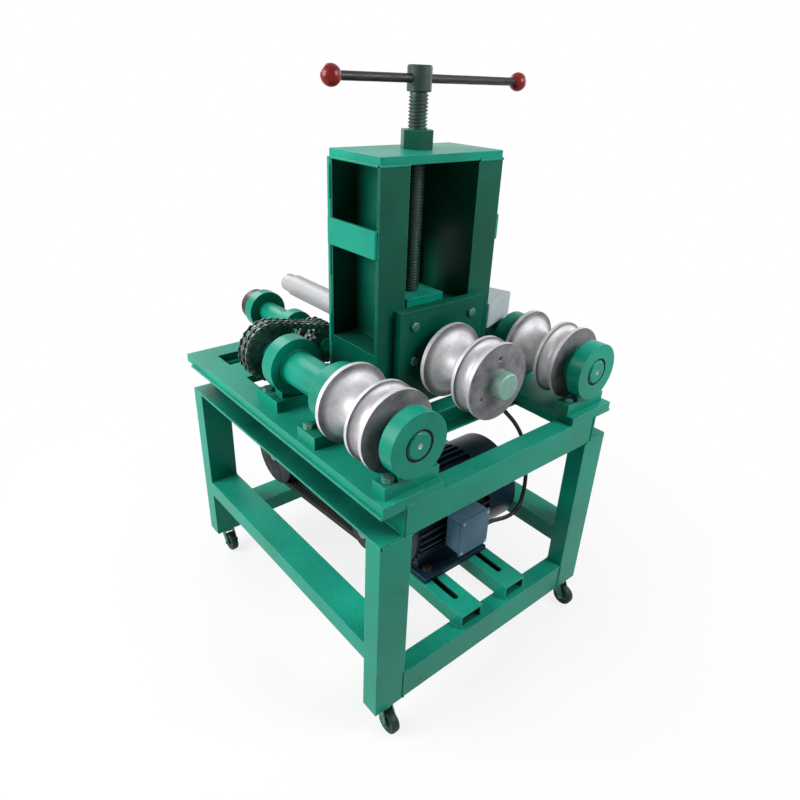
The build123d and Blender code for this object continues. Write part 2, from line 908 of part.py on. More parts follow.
jack_hub_start = left_strands[0] - tooth_half_width
jack_hub_end = jack_chain_depth + tooth_half_width
with BuildPart() as jack_sprockets:
    for depth in (*left_strands, jack_chain_depth):
        toothed_disc(jack_axis, small_teeth, small_pitch_radius, depth)
    bar_y(*jack_axis, small_pitch_radius - link_half_height - 1, jack_hub_start, jack_hub_end)
    bar_y(*jack_axis, jack_radius + turning, jack_hub_start, jack_hub_end, mode=Mode.SUBTRACT)
jack_sprockets.part.label = "jack_sprockets"
export_step(jack_sprockets.part, "parts/jack_sprockets.step")

# Chains
left_loop = (left_axis, big_pitch_radius, jack_axis, small_pitch_radius)
jack_loop = (jack_axis, small_pitch_radius, output_axis, small_pitch_radius)
right_loop = (right_axis, big_pitch_radius, output_axis, small_pitch_radius)
with BuildPart() as drive_chains:
    for depth in left_strands:
        chain_strand(depth, *left_loop)
    chain_pins(left_strands[0] - link_outside, left_strands[1] + link_outside, *left_loop)
    chain_strand(jack_chain_depth, *jack_loop)
    chain_pins(jack_chain_depth - link_outside, jack_chain_depth + link_outside, *jack_loop)
    chain_strand(right_chain_depth, *right_loop)
    chain_pins(right_chain_depth - link_outside, right_chain_depth + link_outside, *right_loop)
drive_chains.part.label = "drive_chains"
export_step(drive_chains.part, "parts/drive_chains.step")

# Reducer
reducer_front = reducer_depth_place - reducer_half_depth
reducer_back = reducer_depth_place + reducer_half_depth
reducer_left = motor_middle - reducer_half_width
reducer_right = motor_middle + reducer_half_width
worm_boss = 24
with BuildPart() as reducer_housing:
    slab(
        rail_places[0] - motor_rail_width / 2,
        rail_places[1] + motor_rail_width / 2,
        reducer_front - 26,
        reducer_back + 26,
        motor_rail_top,
        reducer_seat,
    )
    slab(reducer_left, reducer_right, reducer_front, reducer_back, reducer_seat, output_height)
    bar_y(*output_axis, wheel_case_radius, reducer_front, reducer_back)
    bar_x(reducer_depth_place, worm_height, 38, reducer_left - worm_boss, reducer_right + worm_boss)
    bar_y(*output_axis, wheel_cavity_radius, reducer_front, reducer_back, mode=Mode.SUBTRACT)
    bar_x(
        reducer_depth_place,
        worm_height,
        worm_radius + 6,
        reducer_left + 14,
        reducer_right - 14,
        mode=Mode.SUBTRACT,
    )
    bar_x(
        reducer_depth_place,
        worm_height,
        worm_shaft_radius + turning,
        reducer_left - worm_boss,
        reducer_right + 10,
        mode=Mode.SUBTRACT,
    )
    for x, depth in reducer_bolts:
        bar_z(x, depth, bolt_radius + turning, motor_rail_top, reducer_seat, mode=Mode.SUBTRACT)
reducer_housing.part.label = "reducer_housing"
export_step(reducer_housing.part, "parts/reducer_housing.step")

spigot = 10
with BuildPart() as reducer_covers:
    for face, way in ((reducer_front, -1), (reducer_back, 1)):
        low, high = sorted((face, face + way * cover_flange))
        bar_y(*output_axis, wheel_case_radius - 3, low, high)
        low, high = sorted((face, face - way * spigot))
        bar_y(*output_axis, wheel_cavity_radius - turning, low, high)
        low, high = sorted((face + way * cover_flange, face + way * (cover_flange + cover_boss)))
        bar_y(*output_axis, 42, low, high)
        low, high = sorted((face - way * spigot, face + way * (cover_flange + cover_boss)))
        bar_y(*output_axis, output_radius + turning, low, high, mode=Mode.SUBTRACT)
reducer_covers.part.label = "reducer_covers"
export_step(reducer_covers.part, "parts/reducer_covers.step")

output_start = jack_chain_depth - 12
output_end = reducer_back + cover_flange + cover_boss + 4
with BuildPart() as output_shaft:
    bar_y(*output_axis, output_radius, output_start, output_end)
    chamfer(output_shaft.edges().filter_by(GeomType.CIRCLE), length=1.5)
output_shaft.part.label = "output_shaft"
export_step(output_shaft.part, "parts/output_shaft.step")

output_hub_start = jack_chain_depth - tooth_half_width
output_hub_end = right_chain_depth + tooth_half_width
gear_teeth = 30
gear_half = 17
gear_hub = 34
with BuildPart() as output_gears:
    for depth in (jack_chain_depth, right_chain_depth):
        toothed_disc(output_axis, small_teeth, small_pitch_radius, depth)
    bar_y(*output_axis, small_pitch_radius - link_half_height - 1, output_hub_start, output_hub_end)
    with BuildSketch(facing(reducer_depth_place + gear_half)) as gear_face:
        with Locations(output_axis):
            Circle(worm_wheel_radius)
            with PolarLocations(worm_wheel_radius, gear_teeth):
                Circle(3.5, mode=Mode.SUBTRACT)
    extrude(gear_face.sketch, amount=2 * gear_half)
    bar_y(*output_axis, gear_hub, reducer_depth_place - gear_hub, reducer_depth_place + gear_hub)
    bar_y(*output_axis, output_radius + turning, output_hub_start, output_end, mode=Mode.SUBTRACT)
output_gears.part.label = "output_gears"
export_step(output_gears.part, "parts/output_gears.step")

worm_half = 40
with BuildPart() as worm_shaft:
    bar_x(reducer_depth_place, worm_height, worm_shaft_radius, pulley_left - 5, reducer_right + 9)
    bar_x(reducer_depth_place, worm_height, worm_radius, motor_middle - worm_half, motor_middle + worm_half)
worm_shaft.part.label = "worm_shaft"
export_step(worm_shaft.part, "parts/worm_shaft.step")


# Pulleys and belts
def pulley(depth, z, radius, bore):
    """A two-groove pulley on a sideways shaft."""
    bar_x(depth, z, radius, pulley_left, pulley_left + pulley_width)
    for way in (-0.5, 0.5):
        middle = pulley_middle + way * groove_spacing
        with BuildSketch(Plane((0, front_y + depth, 0), x_dir=(1, 0, 0), z_dir=(0, -1, 0))) as groove:
            with BuildLine():
                Polyline(
                    (middle - belt_width / 2 - 3, z + radius + 1),
                    (middle + belt_width / 2 + 3, z + radius + 1),
                    (middle + belt_width / 2 + sliding, z + radius - belt_height - 2),
                    (middle - belt_width / 2 - sliding, z + radius - belt_height - 2),
                    close=True,
                )
            make_face()
        revolve(
            groove.sketch,
            axis=Axis((0, front_y + depth, z), (1, 0, 0)),
            mode=Mode.SUBTRACT,
        )
    bar_x(depth, z, bore, pulley_left, pulley_left + pulley_width, mode=Mode.SUBTRACT)


with BuildPart() as motor_pulley:
    pulley(motor_depth_place, motor_axis_height, small_pulley_radius, motor_shaft_radius + turning)
motor_pulley.part.label = "motor_pulley"
export_step(motor_pulley.part, "parts/motor_pulley.step")

with BuildPart() as reducer_pulley:
    pulley(reducer_depth_place, worm_height, big_pulley_radius, worm_shaft_radius + turning)
reducer_pulley.part.label = "reducer_pulley"
export_step(reducer_pulley.part, "parts/reducer_pulley.step")

motor_axis = (front_y + motor_depth_place, motor_axis_height)
worm_axis = (front_y + reducer_depth_place, worm_height)
with BuildPart() as v_belts:
    for way in (-0.5, 0.5):
        plane = side_plane(pulley_middle + way * groove_spacing - belt_width / 2)
        outer = loop_face(plane, motor_axis, small_pulley_radius, worm_axis, big_pulley_radius)
        inner = loop_face(
            plane,
            motor_axis,
            small_pulley_radius - belt_height,
            worm_axis,
            big_pulley_radius - belt_height,
        )
        extrude(outer - inner, amount=belt_width)
v_belts.part.label = "v_belts"
export_step(v_belts.part, "parts/v_belts.step")

# Motor: finned frame with its feet, and the wound stator inside it
stator_left, stator_right = barrel_left + stator_inset, barrel_right - stator_inset
with BuildPart() as motor_frame:
    with BuildSketch(side_plane(barrel_left)) as barrel:
        with Locations(motor_axis):
            Circle(barrel_radius)
            with PolarLocations(barrel_radius + fin_height / 2 - 1, fin_count):
                Rectangle(fin_height + 2, fin_thickness)
    extrude(barrel.sketch, amount=barrel_right - barrel_left)
    foot_web_top = motor_axis_height - foot_web_drop
    for depth in motor_feet:
        way = 1 if depth > motor_depth_place else -1
        slab(
            rail_places[0] - motor_rail_width / 2 + 5,
            rail_places[1] + motor_rail_width / 2 - 5,
            depth - 26,
            depth + 26,
            motor_rail_top,
            motor_seat,
        )
        inner_edge = depth - way * 26
        low, high = sorted((inner_edge, inner_edge + way * 14))
        slab(rail_places[0] - 20, rail_places[1] + 20, low, high, motor_seat, foot_web_top)
    slab(
        terminal_left + 14,
        terminal_right - 14,
        terminal_back,
        motor_depth_place,
        terminal_bottom + 24,
        terminal_top - 24,
    )
    bar_x(motor_depth_place, motor_axis_height + barrel_radius + 25, 20, motor_middle - 6, motor_middle + 6)
    bar_x(
        motor_depth_place,
        motor_axis_height + barrel_radius + 25,
        11,
        motor_middle - 6,
        motor_middle + 6,
        mode=Mode.SUBTRACT,
    )
    bar_x(motor_depth_place, motor_axis_height, stator_radius, barrel_left, barrel_right, mode=Mode.SUBTRACT)
    bar_x(motor_depth_place, motor_axis_height, stator_radius - turning, stator_left, stator_right)
    stator_bore = rotor_radius + air_gap
    bar_x(motor_depth_place, motor_axis_height, stator_bore, stator_left, stator_right, mode=Mode.SUBTRACT)
    for x, depth in motor_bolts:
        bar_z(x, depth, bolt_radius + turning, motor_rail_top, motor_seat, mode=Mode.SUBTRACT)
        bar_z(x, depth, bolt_head * 1.3, motor_seat, motor_seat + bolt_head_height * 2, mode=Mode.SUBTRACT)
motor_frame.part.label = "motor_frame"
export_step(motor_frame.part, "parts/motor_frame.step")

cowl_radius = barrel_radius + fin_height
with BuildPart() as motor_end_covers:
    bar_x(motor_depth_place, motor_axis_height, barrel_radius + 6, barrel_left - 8, barrel_left)
    bar_x(motor_depth_place, motor_axis_height, 60, barrel_left - shield_thickness, barrel_left - 8)
    bar_x(
        motor_depth_place,
        motor_axis_height,
        motor_shaft_radius + turning,
        barrel_left - shield_thickness,
        barrel_left,
        mode=Mode.SUBTRACT,
    )
    bar_x(motor_depth_place, motor_axis_height, cowl_radius, barrel_right, barrel_right + cowl_length)
    bar_x(
        motor_depth_place,
        motor_axis_height,
        cowl_radius - cowl_wall,
        barrel_right + 8,
        barrel_right + cowl_length - cowl_wall,
        mode=Mode.SUBTRACT,
    )
    bar_x(
        motor_depth_place,
        motor_axis_height,
        motor_shaft_radius + turning,
        barrel_right,
        barrel_right + 8,
        mode=Mode.SUBTRACT,
    )
    with BuildSketch(side_plane(barrel_right + cowl_length - cowl_wall)) as grille:
        with Locations(motor_axis):
            for ring, holes in ((30, 8), (52, 14), (74, 20)):
                with PolarLocations(ring, holes):
                    Circle(7)
    extrude(grille.sketch, amount=cowl_wall, mode=Mode.SUBTRACT)
motor_end_covers.part.label = "motor_end_covers"
export_step(motor_end_covers.part, "parts/motor_end_covers.step")

fan_start = barrel_right + fan_gap
fan_end = fan_start + fan_width
with BuildPart() as motor_shaft:
    bar_x(motor_depth_place, motor_axis_height, motor_shaft_radius, pulley_left - 5, fan_end + 6)
    bar_x(motor_depth_place, motor_axis_height, rotor_radius, stator_left, stator_right)
    bar_x(motor_depth_place, motor_axis_height, fan_hub, fan_start, fan_end)
    for turn in range(0, 360, 60):
        with Locations(Location((fan_start + fan_width / 2, *motor_axis), (turn, 0, 0))):
            with Locations((0, 0, blade_middle)):
                Box(fan_width, blade_thickness, blade_length)
motor_shaft.part.label = "motor_shaft"
export_step(motor_shaft.part, "parts/motor_shaft.step")

with BuildPart() as terminal_box:
    slab(terminal_left, terminal_right, terminal_front, terminal_back, terminal_bottom, terminal_top)
    slab(
        terminal_left + box_wall,
        terminal_right - box_wall,
        terminal_front,
        terminal_back - box_wall,
        terminal_bottom + box_wall,
        terminal_top - box_wall,
        mode=Mode.SUBTRACT,
    )
    slab(
        terminal_left - 2,
        terminal_right + 2,
        terminal_front - 5,
        terminal_front,
        terminal_bottom - 2,
        terminal_top + 2,
    )
    fillet(terminal_box.edges().filter_by(Axis.Y).group_by(Axis.Y)[0], radius=6)
terminal_box.part.label = "terminal_box"
export_step(terminal_box.part, "parts/terminal_box.step")

# Slide
bore_clear = centre_shaft_radius + 3
slide_bush_radius = centre_shaft_radius + bush_wall
slide_bush_length = 60
pocket_bottom = slide_top - collar_height - 8
with BuildPart() as slide_block:
    slab(-slide_half, slide_half, slide_front, slide_back, slide_bottom, slide_top)
    bar_y(0, centre_axis_height, bore_clear, slide_front, slide_back, mode=Mode.SUBTRACT)
    bar_y(0, centre_axis_height, slide_bush_radius, slide_front, front_bush_end, mode=Mode.SUBTRACT)
    rear_bush_start = slide_back - slide_bush_length
    bar_y(0, centre_axis_height, slide_bush_radius, rear_bush_start, slide_back, mode=Mode.SUBTRACT)
    bar_z(0, column_middle, screw_collar + sliding, pocket_bottom, slide_top, mode=Mode.SUBTRACT)
slide_block.part.label = "slide_block"
export_step(slide_block.part, "parts/slide_block.step")

plate_bolts = [
    (x, slide_plate_bottom + slide_plate_height * share) for x in (-76, 76) for share in (0.15, 0.5, 0.85)
]
plate_bolt_radius = 5
with BuildPart() as slide_front_plate:
    slab(
        -slide_plate_half,
        slide_plate_half,
        slide_plate_front,
        slide_front,
        slide_plate_bottom,
        slide_plate_bottom + slide_plate_height,
    )
    bar_y(0, centre_axis_height, slide_bush_radius, slide_plate_front, slide_front, mode=Mode.SUBTRACT)
    for x, z in plate_bolts:
        bar_y(x, z, plate_bolt_radius + turning, slide_plate_front, slide_front, mode=Mode.SUBTRACT)
slide_front_plate.part.label = "slide_front_plate"
export_step(slide_front_plate.part, "parts/slide_front_plate.step")

with BuildPart() as slide_bolts:
    for x, z in plate_bolts:
        with BuildSketch(facing(slide_plate_front)) as head:
            with Locations((x, z)):
                RegularPolygon(bolt_head * 0.85, 6, major_radius=False)
        extrude(head.sketch, amount=bolt_head_height * 0.8)
        bar_y(x, z, plate_bolt_radius, slide_plate_front, slide_front)
slide_bolts.part.label = "slide_bolts"
export_step(slide_bolts.part, "parts/slide_bolts.step")

with BuildPart() as slide_bushes:
    for start, end in ((slide_plate_front, front_bush_end), (slide_back - slide_bush_length, slide_back)):
        bar_y(0, centre_axis_height, slide_bush_radius - turning / 5, start, end)
        bar_y(0, centre_axis_height, centre_shaft_radius + turning, start, end, mode=Mode.SUBTRACT)
slide_bushes.part.label = "slide_bushes"
export_step(slide_bushes.part, "parts/slide_bushes.step")

with BuildPart() as thrust_cap:
    slab(
        -thrust_cap_half,
        thrust_cap_half,
        column_middle - thrust_cap_half,
        column_middle + thrust_cap_half,
        slide_top,
        slide_top + thrust_cap_height,
    )
    bar_z(
        0,
        column_middle,
        screw_neck + sliding,
        slide_top,
        slide_top + thrust_cap_height,
        mode=Mode.SUBTRACT,
    )
thrust_cap.part.label = "thrust_cap"
export_step(thrust_cap.part, "parts/thrust_cap.step")

# Press screw: turned collar under the cap, neck, thread with flat crests, and a cross-drilled head
screw_bottom = slide_top - collar_height - sliding
thread_start = slide_top + thrust_cap_height + sliding
thread_end = head_bottom - 12
thread_turns = int((thread_end - thread_start) / screw_lead)
with BuildPart() as press_screw:
    with BuildSketch(Plane.XZ.offset(-(front_y + column_middle))):
        with BuildLine():
            outline = [
                (0, screw_bottom),
                (screw_collar, screw_bottom),
                (screw_collar, slide_top - sliding),
                (screw_neck, slide_top - sliding),
                (screw_neck, thread_start),
                (screw_radius - thread_depth, thread_start),
            ]
            for turn in range(thread_turns):
                level = thread_start + turn * screw_lead
                outline += [
                    (screw_radius - thread_depth, level + screw_lead * 0.25),
                    (screw_radius, level + screw_lead * 0.4),
                    (screw_radius, level + screw_lead * 0.75),
                    (screw_radius - thread_depth, level + screw_lead * 0.9),
                ]
            outline += [
                (screw_radius - thread_depth, head_bottom),
                (head_radius, head_bottom),
                (head_radius, head_bottom + head_height),
                (0, head_bottom + head_height),
            ]
            Polyline(*outline, close=True)
        make_face()
    revolve(axis=Axis((0, front_y + column_middle, 0), (0, 0, 1)))
    bar_x(column_middle, head_middle, bar_radius + turning, -head_radius, head_radius, mode=Mode.SUBTRACT)
press_screw.part.label = "press_screw"
export_step(press_screw.part, "parts/press_screw.step")

bar_end = bar_half - sliding
with BuildPart() as t_bar:
    bar_x(column_middle, head_middle, bar_radius, bar_offset - bar_end, bar_offset + bar_end)
t_bar.part.label = "t_bar"
export_step(t_bar.part, "parts/t_bar.step")

with BuildPart() as ball_knobs:
    for way in (-1, 1):
        ball_centre = (bar_offset + way * bar_half, front_y + column_middle, head_middle)
        with Locations(Location(ball_centre, (0, 0, 90))):
            Sphere(knob_radius)
    bar_x(
        column_middle,
        head_middle,
        bar_radius + sliding,
        bar_offset - bar_half,
        bar_offset + bar_half,
        mode=Mode.SUBTRACT,
    )
ball_knobs.part.label = "ball_knobs"
export_step(ball_knobs.part, "parts/ball_knobs.step")

# Centre roller
with BuildPart() as centre_shaft:
    bar_y(0, centre_axis_height, centre_shaft_radius, roller_start, machine_depth - tail_length)
    bar_y(0, centre_axis_height, tail_radius, roller_start, machine_depth)
    bar_y(0, centre_axis_height, stub_radius, roller_start - stub_length, roller_start)
    bar_y(0, centre_axis_height, spacer_radius + 4, roller_end, slide_plate_front - sliding)
    chamfer(centre_shaft.edges().filter_by(GeomType.CIRCLE).group_by(Axis.Y)[0], length=2)
    chamfer(centre_shaft.edges().filter_by(GeomType.CIRCLE).group_by(Axis.Y)[-1], length=2)
centre_shaft.part.label = "centre_shaft"
export_step(centre_shaft.part, "parts/centre_shaft.step")

with BuildPart() as centre_roller:
    roller_profile(0, centre_axis_height, centre_shaft_radius + turning)
    with BuildSketch(facing(roller_start)) as face_holes:
        with Locations((0, centre_axis_height)):
            with PolarLocations(roller_radius * 0.62, 3, start_angle=90):
                Circle(5)
    extrude(face_holes.sketch, amount=-14, mode=Mode.SUBTRACT)
centre_roller.part.label = "centre_roller"
export_step(centre_roller.part, "parts/centre_roller.step")

# Switch box, turned towards the operator, on a bracket from the right upright
along = (cos(radians(box_turn)), sin(radians(box_turn)))
corner = (box_corner[0], front_y + box_corner[1])
box_plane = Plane((*corner, box_bottom), x_dir=(*along, 0), z_dir=(0, 0, 1))
with BuildPart() as control_box:
    with BuildSketch(box_plane):
        Rectangle(box_width, box_depth, align=(Align.MIN, Align.MIN))
    extrude(amount=box_height)
    fillet(control_box.edges().filter_by(Axis.Z), radius=box_wall)
    bracket_depth = box_corner[1] + box_depth - 11
    slab(
        column_half_gap + column_web,
        box_corner[0] + 45,
        bracket_depth - bracket_width / 2,
        bracket_depth + bracket_width / 2,
        box_bottom - bracket_thickness,
        box_bottom,
    )
control_box.part.label = "control_box"
export_step(control_box.part, "parts/control_box.step")

knob_place = (
    corner[0] + along[0] * box_width - along[1] * box_depth / 2,
    corner[1] + along[1] * box_width + along[0] * box_depth / 2,
    box_bottom + box_height / 2,
)
knob_plane = Plane(knob_place, x_dir=(0, 0, 1), z_dir=(*along, 0))
with BuildPart() as switch_knob:
    with BuildSketch(knob_plane.offset(sliding)):
        Circle(knob_disc)
    extrude(amount=knob_length * 0.4)
    with BuildSketch(knob_plane.offset(sliding + knob_length * 0.4)):
        Rectangle(knob_disc * 2, knob_disc * 0.6)
    extrude(amount=knob_length * 0.6)
switch_knob.part.label = "switch_knob"
export_step(switch_knob.part, "parts/switch_knob.step")

# Motor cable between the two glands, hand-placed points with large tangent arcs
gland_x = corner[0] + (along[0] - along[1]) * gland_inset
gland_depth = box_corner[1] + (along[1] + along[0]) * gland_inset
cable_route = [
    (terminal_right + gland_length, cable_depth, cable_height),
    (112, cable_depth, cable_height),
    (139, 121, 255),
    (165, 121, 248),
    (190, 122, 246),
    (213, 125, 251),
    (233, 131, 264),
    (249, 139, 286),
    (260, 148, 316),
    (265, 157, 351),
    (263, 166, 388),
    (251, 174, 426),
    (229, 180, 462),
    (202, 184, 492),
    (177, 187, 518),
    (163, 196, 546),
    (161.5, 207, 571.5),
    (162, 224.5, 599),
    (163.7, 243, 627.3),
    (gland_x, gland_depth, box_bottom - gland_length - 25),
    (gland_x, gland_depth, box_bottom - gland_length),
]
cable_points = [Vector(x, front_y + depth, z) for x, depth, z in cable_route]
cable_radii = []
for before, point, after in zip(cable_points, cable_points[1:], cable_points[2:]):
    run_in, run_out = point - before, after - point
    half_turn = radians(run_in.get_angle(run_out)) / 2
    cable_radii.append(0.45 * min(run_in.length, run_out.length) / tan(half_turn))
with BuildPart() as motor_cable:
    with BuildLine() as cable_path:
        FilletPolyline(*cable_points, radius=cable_radii)
    with BuildSketch(Plane(cable_points[0], z_dir=cable_path.line % 0)):
        Circle(cable_radius)
    sweep(path=cable_path.line)
motor_cable.part.label = "motor_cable"
export_step(motor_cable.part, "parts/motor_cable.step")

with BuildPart() as cable_glands:
    bar_x(cable_depth, cable_height, gland_radius, terminal_right, terminal_right + gland_length)
    bar_z(gland_x, gland_depth, gland_radius, box_bottom - gland_length, box_bottom)
cable_glands.part.label = "cable_glands"
export_step(cable_glands.part, "parts/cable_glands.step")

# Casters
with BuildPart() as caster_plates:
    for x, depth in caster_places.values():
        slab(
            x - leg_width / 2 + 3,
            x + leg_width / 2 - 3,
            depth - leg_depth / 2 + 2,
            depth + leg_depth / 2 - 2,
            caster_height - caster_plate,
            caster_height,
        )
caster_plates.part.label = "caster_plates"
export_step(caster_plates.part, "parts/caster_plates.step")

crown_top = caster_height - caster_plate - sliding
crown_bottom = crown_top - crown_thickness
cheek_inner = wheel_half + 1
for name, (x, depth) in caster_places.items():
    with BuildPart() as fork:
        bar_z(x, depth, 17, crown_bottom, crown_top)
        for side in (-1, 1):
            with BuildSketch(side_plane(x + side * cheek_inner)) as cheek:
                with BuildLine():
                    Polyline(
                        (front_y + depth - 13, crown_top),
                        (front_y + depth + 13, crown_top),
                        (front_y + depth - caster_trail + 8, wheel_radius),
                        (front_y + depth - caster_trail, wheel_radius - 8),
                        (front_y + depth - caster_trail - 8, wheel_radius),
                        close=True,
                    )
                make_face()
            extrude(cheek.sketch, amount=side * cheek_thickness)
        bar_x(
            depth - caster_trail,
            wheel_radius,
            axle_radius,
            x - cheek_inner - cheek_thickness - 3,
            x + cheek_inner + cheek_thickness + 3,
        )
    fork.part.label = "caster_fork_" + name
    export_step(fork.part, "parts/caster_fork_" + name + ".step")

    with BuildPart() as wheel:
        bar_x(depth - caster_trail, wheel_radius, wheel_radius, x - wheel_half, x + wheel_half)
        fillet(wheel.edges().filter_by(GeomType.CIRCLE), radius=3)
        bar_x(
            depth - caster_trail,
            wheel_radius,
            axle_radius + turning,
            x - wheel_half,
            x + wheel_half,
            mode=Mode.SUBTRACT,
        )
    wheel.part.label = "caster_wheel_" + name
    export_step(wheel.part, "parts/caster_wheel_" + name + ".step")
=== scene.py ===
# %% [markdown]
# # A three-roller pipe bender in green enamel
# The machine is a welded stand on casters. Two grooved rollers are driven from below by chains, and a
# third one is pressed down on the pipe by a hand screw in an upright column. The solid model gives every
# rigid shape and its place. This lesson gives those shapes their paint, steel and rubber, and models what
# a plain solid can't show: the thread, the chain links, the belts, the cable and the welds.

# %% Load the frame
import json
from math import acos, atan2, cos, hypot, pi, radians, sin, sqrt, tau

import bmesh
import bpy
from mathutils import Matrix, Vector


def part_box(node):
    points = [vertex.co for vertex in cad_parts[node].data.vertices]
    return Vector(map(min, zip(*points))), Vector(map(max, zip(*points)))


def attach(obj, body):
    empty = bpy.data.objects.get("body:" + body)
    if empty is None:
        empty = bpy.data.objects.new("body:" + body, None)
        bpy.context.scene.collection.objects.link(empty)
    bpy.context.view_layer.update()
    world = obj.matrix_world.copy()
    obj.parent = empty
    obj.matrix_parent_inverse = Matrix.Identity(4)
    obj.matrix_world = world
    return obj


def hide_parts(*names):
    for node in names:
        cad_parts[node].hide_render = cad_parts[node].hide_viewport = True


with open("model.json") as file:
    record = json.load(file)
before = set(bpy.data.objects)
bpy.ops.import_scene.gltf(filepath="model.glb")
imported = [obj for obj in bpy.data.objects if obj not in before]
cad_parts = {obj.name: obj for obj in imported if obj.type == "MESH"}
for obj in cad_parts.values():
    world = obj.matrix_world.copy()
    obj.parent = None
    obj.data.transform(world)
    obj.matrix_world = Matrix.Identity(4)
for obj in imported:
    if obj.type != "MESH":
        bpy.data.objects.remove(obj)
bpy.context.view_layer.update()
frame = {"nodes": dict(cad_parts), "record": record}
nodes = frame["nodes"]
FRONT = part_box("legs")[0].y


# %% [markdown]
# ## Places in the maker's units
# Drawings of such a machine are in millimetres: sideways from the middle, back from the front of the
# stand, and up from the floor. One helper turns such a place into metres in the shared frame, so that the
# numbers below can be read against the drawing.

# %% Places
MM = 0.001


def place(sideways, depth, height):
    """Metres in the shared frame from millimetres sideways, back from the stand's front, and up."""
    return Vector((sideways * MM, FRONT + depth * MM, height * MM))


print("front plane of the stand at y", round(FRONT, 4))

# %% [markdown]
# ## The camera
# The photograph was taken from the operator's left, a little above the machine, with a short lens. The
# angles were fitted to the edges of the stand. A camera looks along its own -Z, so its three axes are
# worked out from the view's direction and then written into one matrix, tilted by the small roll.

# %% Camera
VIEW_AZIMUTH = radians(40.95)
VIEW_ELEVATION = radians(27.51)
VIEW_ROLL = radians(2.43)
EYE = Vector((-0.8304, -1.0133, 1.1863))
FOCAL_PIXELS = 627.1
PICTURE_PIXELS = 800
SENSOR_WIDTH = 36

forward = Vector((
    sin(VIEW_AZIMUTH) * cos(VIEW_ELEVATION),
    cos(VIEW_AZIMUTH) * cos(VIEW_ELEVATION),
    -sin(VIEW_ELEVATION),
))
level = forward.cross(Vector((0, 0, 1))).normalized()
upright = level.cross(forward)
right = level * cos(VIEW_ROLL) + upright * sin(VIEW_ROLL)
top = upright * cos(VIEW_ROLL) - level * sin(VIEW_ROLL)


def link_object(name, data):
    """A new object in the scene."""
    linked = bpy.data.objects.new(name, data)
    bpy.context.scene.collection.objects.link(linked)
    return linked


camera = link_object("camera", bpy.data.cameras.new("camera"))
camera.data.sensor_width = SENSOR_WIDTH
camera.data.lens = FOCAL_PIXELS / PICTURE_PIXELS * SENSOR_WIDTH
camera.matrix_world = Matrix((
    (right.x, top.x, -forward.x, EYE.x),
    (right.y, top.y, -forward.y, EYE.y),
    (right.z, top.z, -forward.z, EYE.z),
    (0, 0, 0, 1),
))
bpy.context.scene.camera = camera
print("lens", round(camera.data.lens, 2), "mm")

# %% [markdown]
# ## Shader maths in Python
# A material is a graph of nodes, and drawing one by hand is slow to read. A small class wraps a node's
# output, so that sums and products on it add Math nodes by themselves. Every other node comes from one
# method that takes its type, its settings, and the values or links of its sockets.


# %% Wires
class Wire:
    """A node's output. Sums on wires add Math nodes."""

    def __init__(self, tree, socket=None):
        self.tree = tree
        self.socket = socket

    def add(self, kind, settings, sockets, out=0):
        """Adds a node, sets it up, then gives each socket a value or a link."""
        node = self.tree.nodes.new("ShaderNode" + kind)
        for name, value in settings.items():
            setattr(node, name, value)
        for key, value in sockets.items():
            if isinstance(value, Wire):
                self.tree.links.new(value.socket, node.inputs[key])
            else:
                node.inputs[key].default_value = value
        return Wire(self.tree, node.outputs[out])

    def math(self, operation, first, second=0.0):
        return self.add("Math", {"operation": operation}, {0: first, 1: second})

    def __add__(self, other):
        return self.math("ADD", self, other)

    __radd__ = __add__

    def __sub__(self, other):
        return self.math("SUBTRACT", self, other)

    def __rsub__(self, other):
        return self.math("SUBTRACT", other, self)

    def __mul__(self, other):
        return self.math("MULTIPLY", self, other)

    __rmul__ = __mul__

    def part(self, vector, axis):
        """One number of a vector."""
        return self.add("SeparateXYZ", {}, {0: vector}, out=axis)

    def noise(self, where, scale, detail=3.0, rough=0.5):
        """Soft random patches, from 0 to 1."""
        sockets = {"Vector": where, "Scale": scale, "Detail": detail, "Roughness": rough}
        return self.add("TexNoise", {}, sockets)

    def ramp(self, value, low, high, start=0.0, end=1.0):
        """Runs from start to end as the value goes from low to high."""
        sockets = {"Value": value, "From Min": low, "From Max": high, "To Min": start, "To Max": end}
        return self.add("MapRange", {}, sockets)

    def tint(self, mask, first, second):
        """Goes from the first colour to the second one with the mask."""
        return self.add("Mix", {"data_type": "RGBA"}, {0: mask, 6: first, 7: second}, out=2)

    def bump(self, height, depth, normal):
        """Raises the surface by the height, which is from 0 to 1, times the depth in metres."""
        sockets = {"Height": height, "Strength": 1.0, "Distance": depth, "Normal": normal}
        return self.add("Bump", {}, sockets)


def linear(level):
    """One channel of a screen colour, from 0 to 255, as the light that it stands for."""
    share = level / 255
    return share / 12.92 if share < 0.0404 else ((share + 0.055) / 1.055) ** 2.4


def paint_chip(red, green, blue):
    """The linear colour of a screen colour."""
    return (linear(red), linear(green), linear(blue), 1)


def new_finish(name):
    """A material with only its shader, the wire that adds nodes to it, and where on the object it is."""
    material = bpy.data.materials.new(name)
    material.use_nodes = True
    wire = Wire(material.node_tree)
    return material, wire, wire.add("TexCoord", {}, {}, out="Object")


def set_shader(material, sockets):
    """Sets or links the sockets of the material's shader."""
    shader = material.node_tree.nodes["Principled BSDF"]
    for key, value in sockets.items():
        if isinstance(value, Wire):
            material.node_tree.links.new(value.socket, shader.inputs[key])
        else:
            shader.inputs[key].default_value = value
    return material


# %% [markdown]
# ## Rounded edges and where they wear
# No real plate has a knife edge: the torch, the grinder and the paint leave a small round that catches a
# thin line of light. A Bevel node gives the solids that round without changing their shape. Where its
# normal differs from the flat one there is an edge, and that is also where enamel wears thin and where it
# gets a painted highlight line.


# %% Edges
EDGE_ROUND = 0.0016


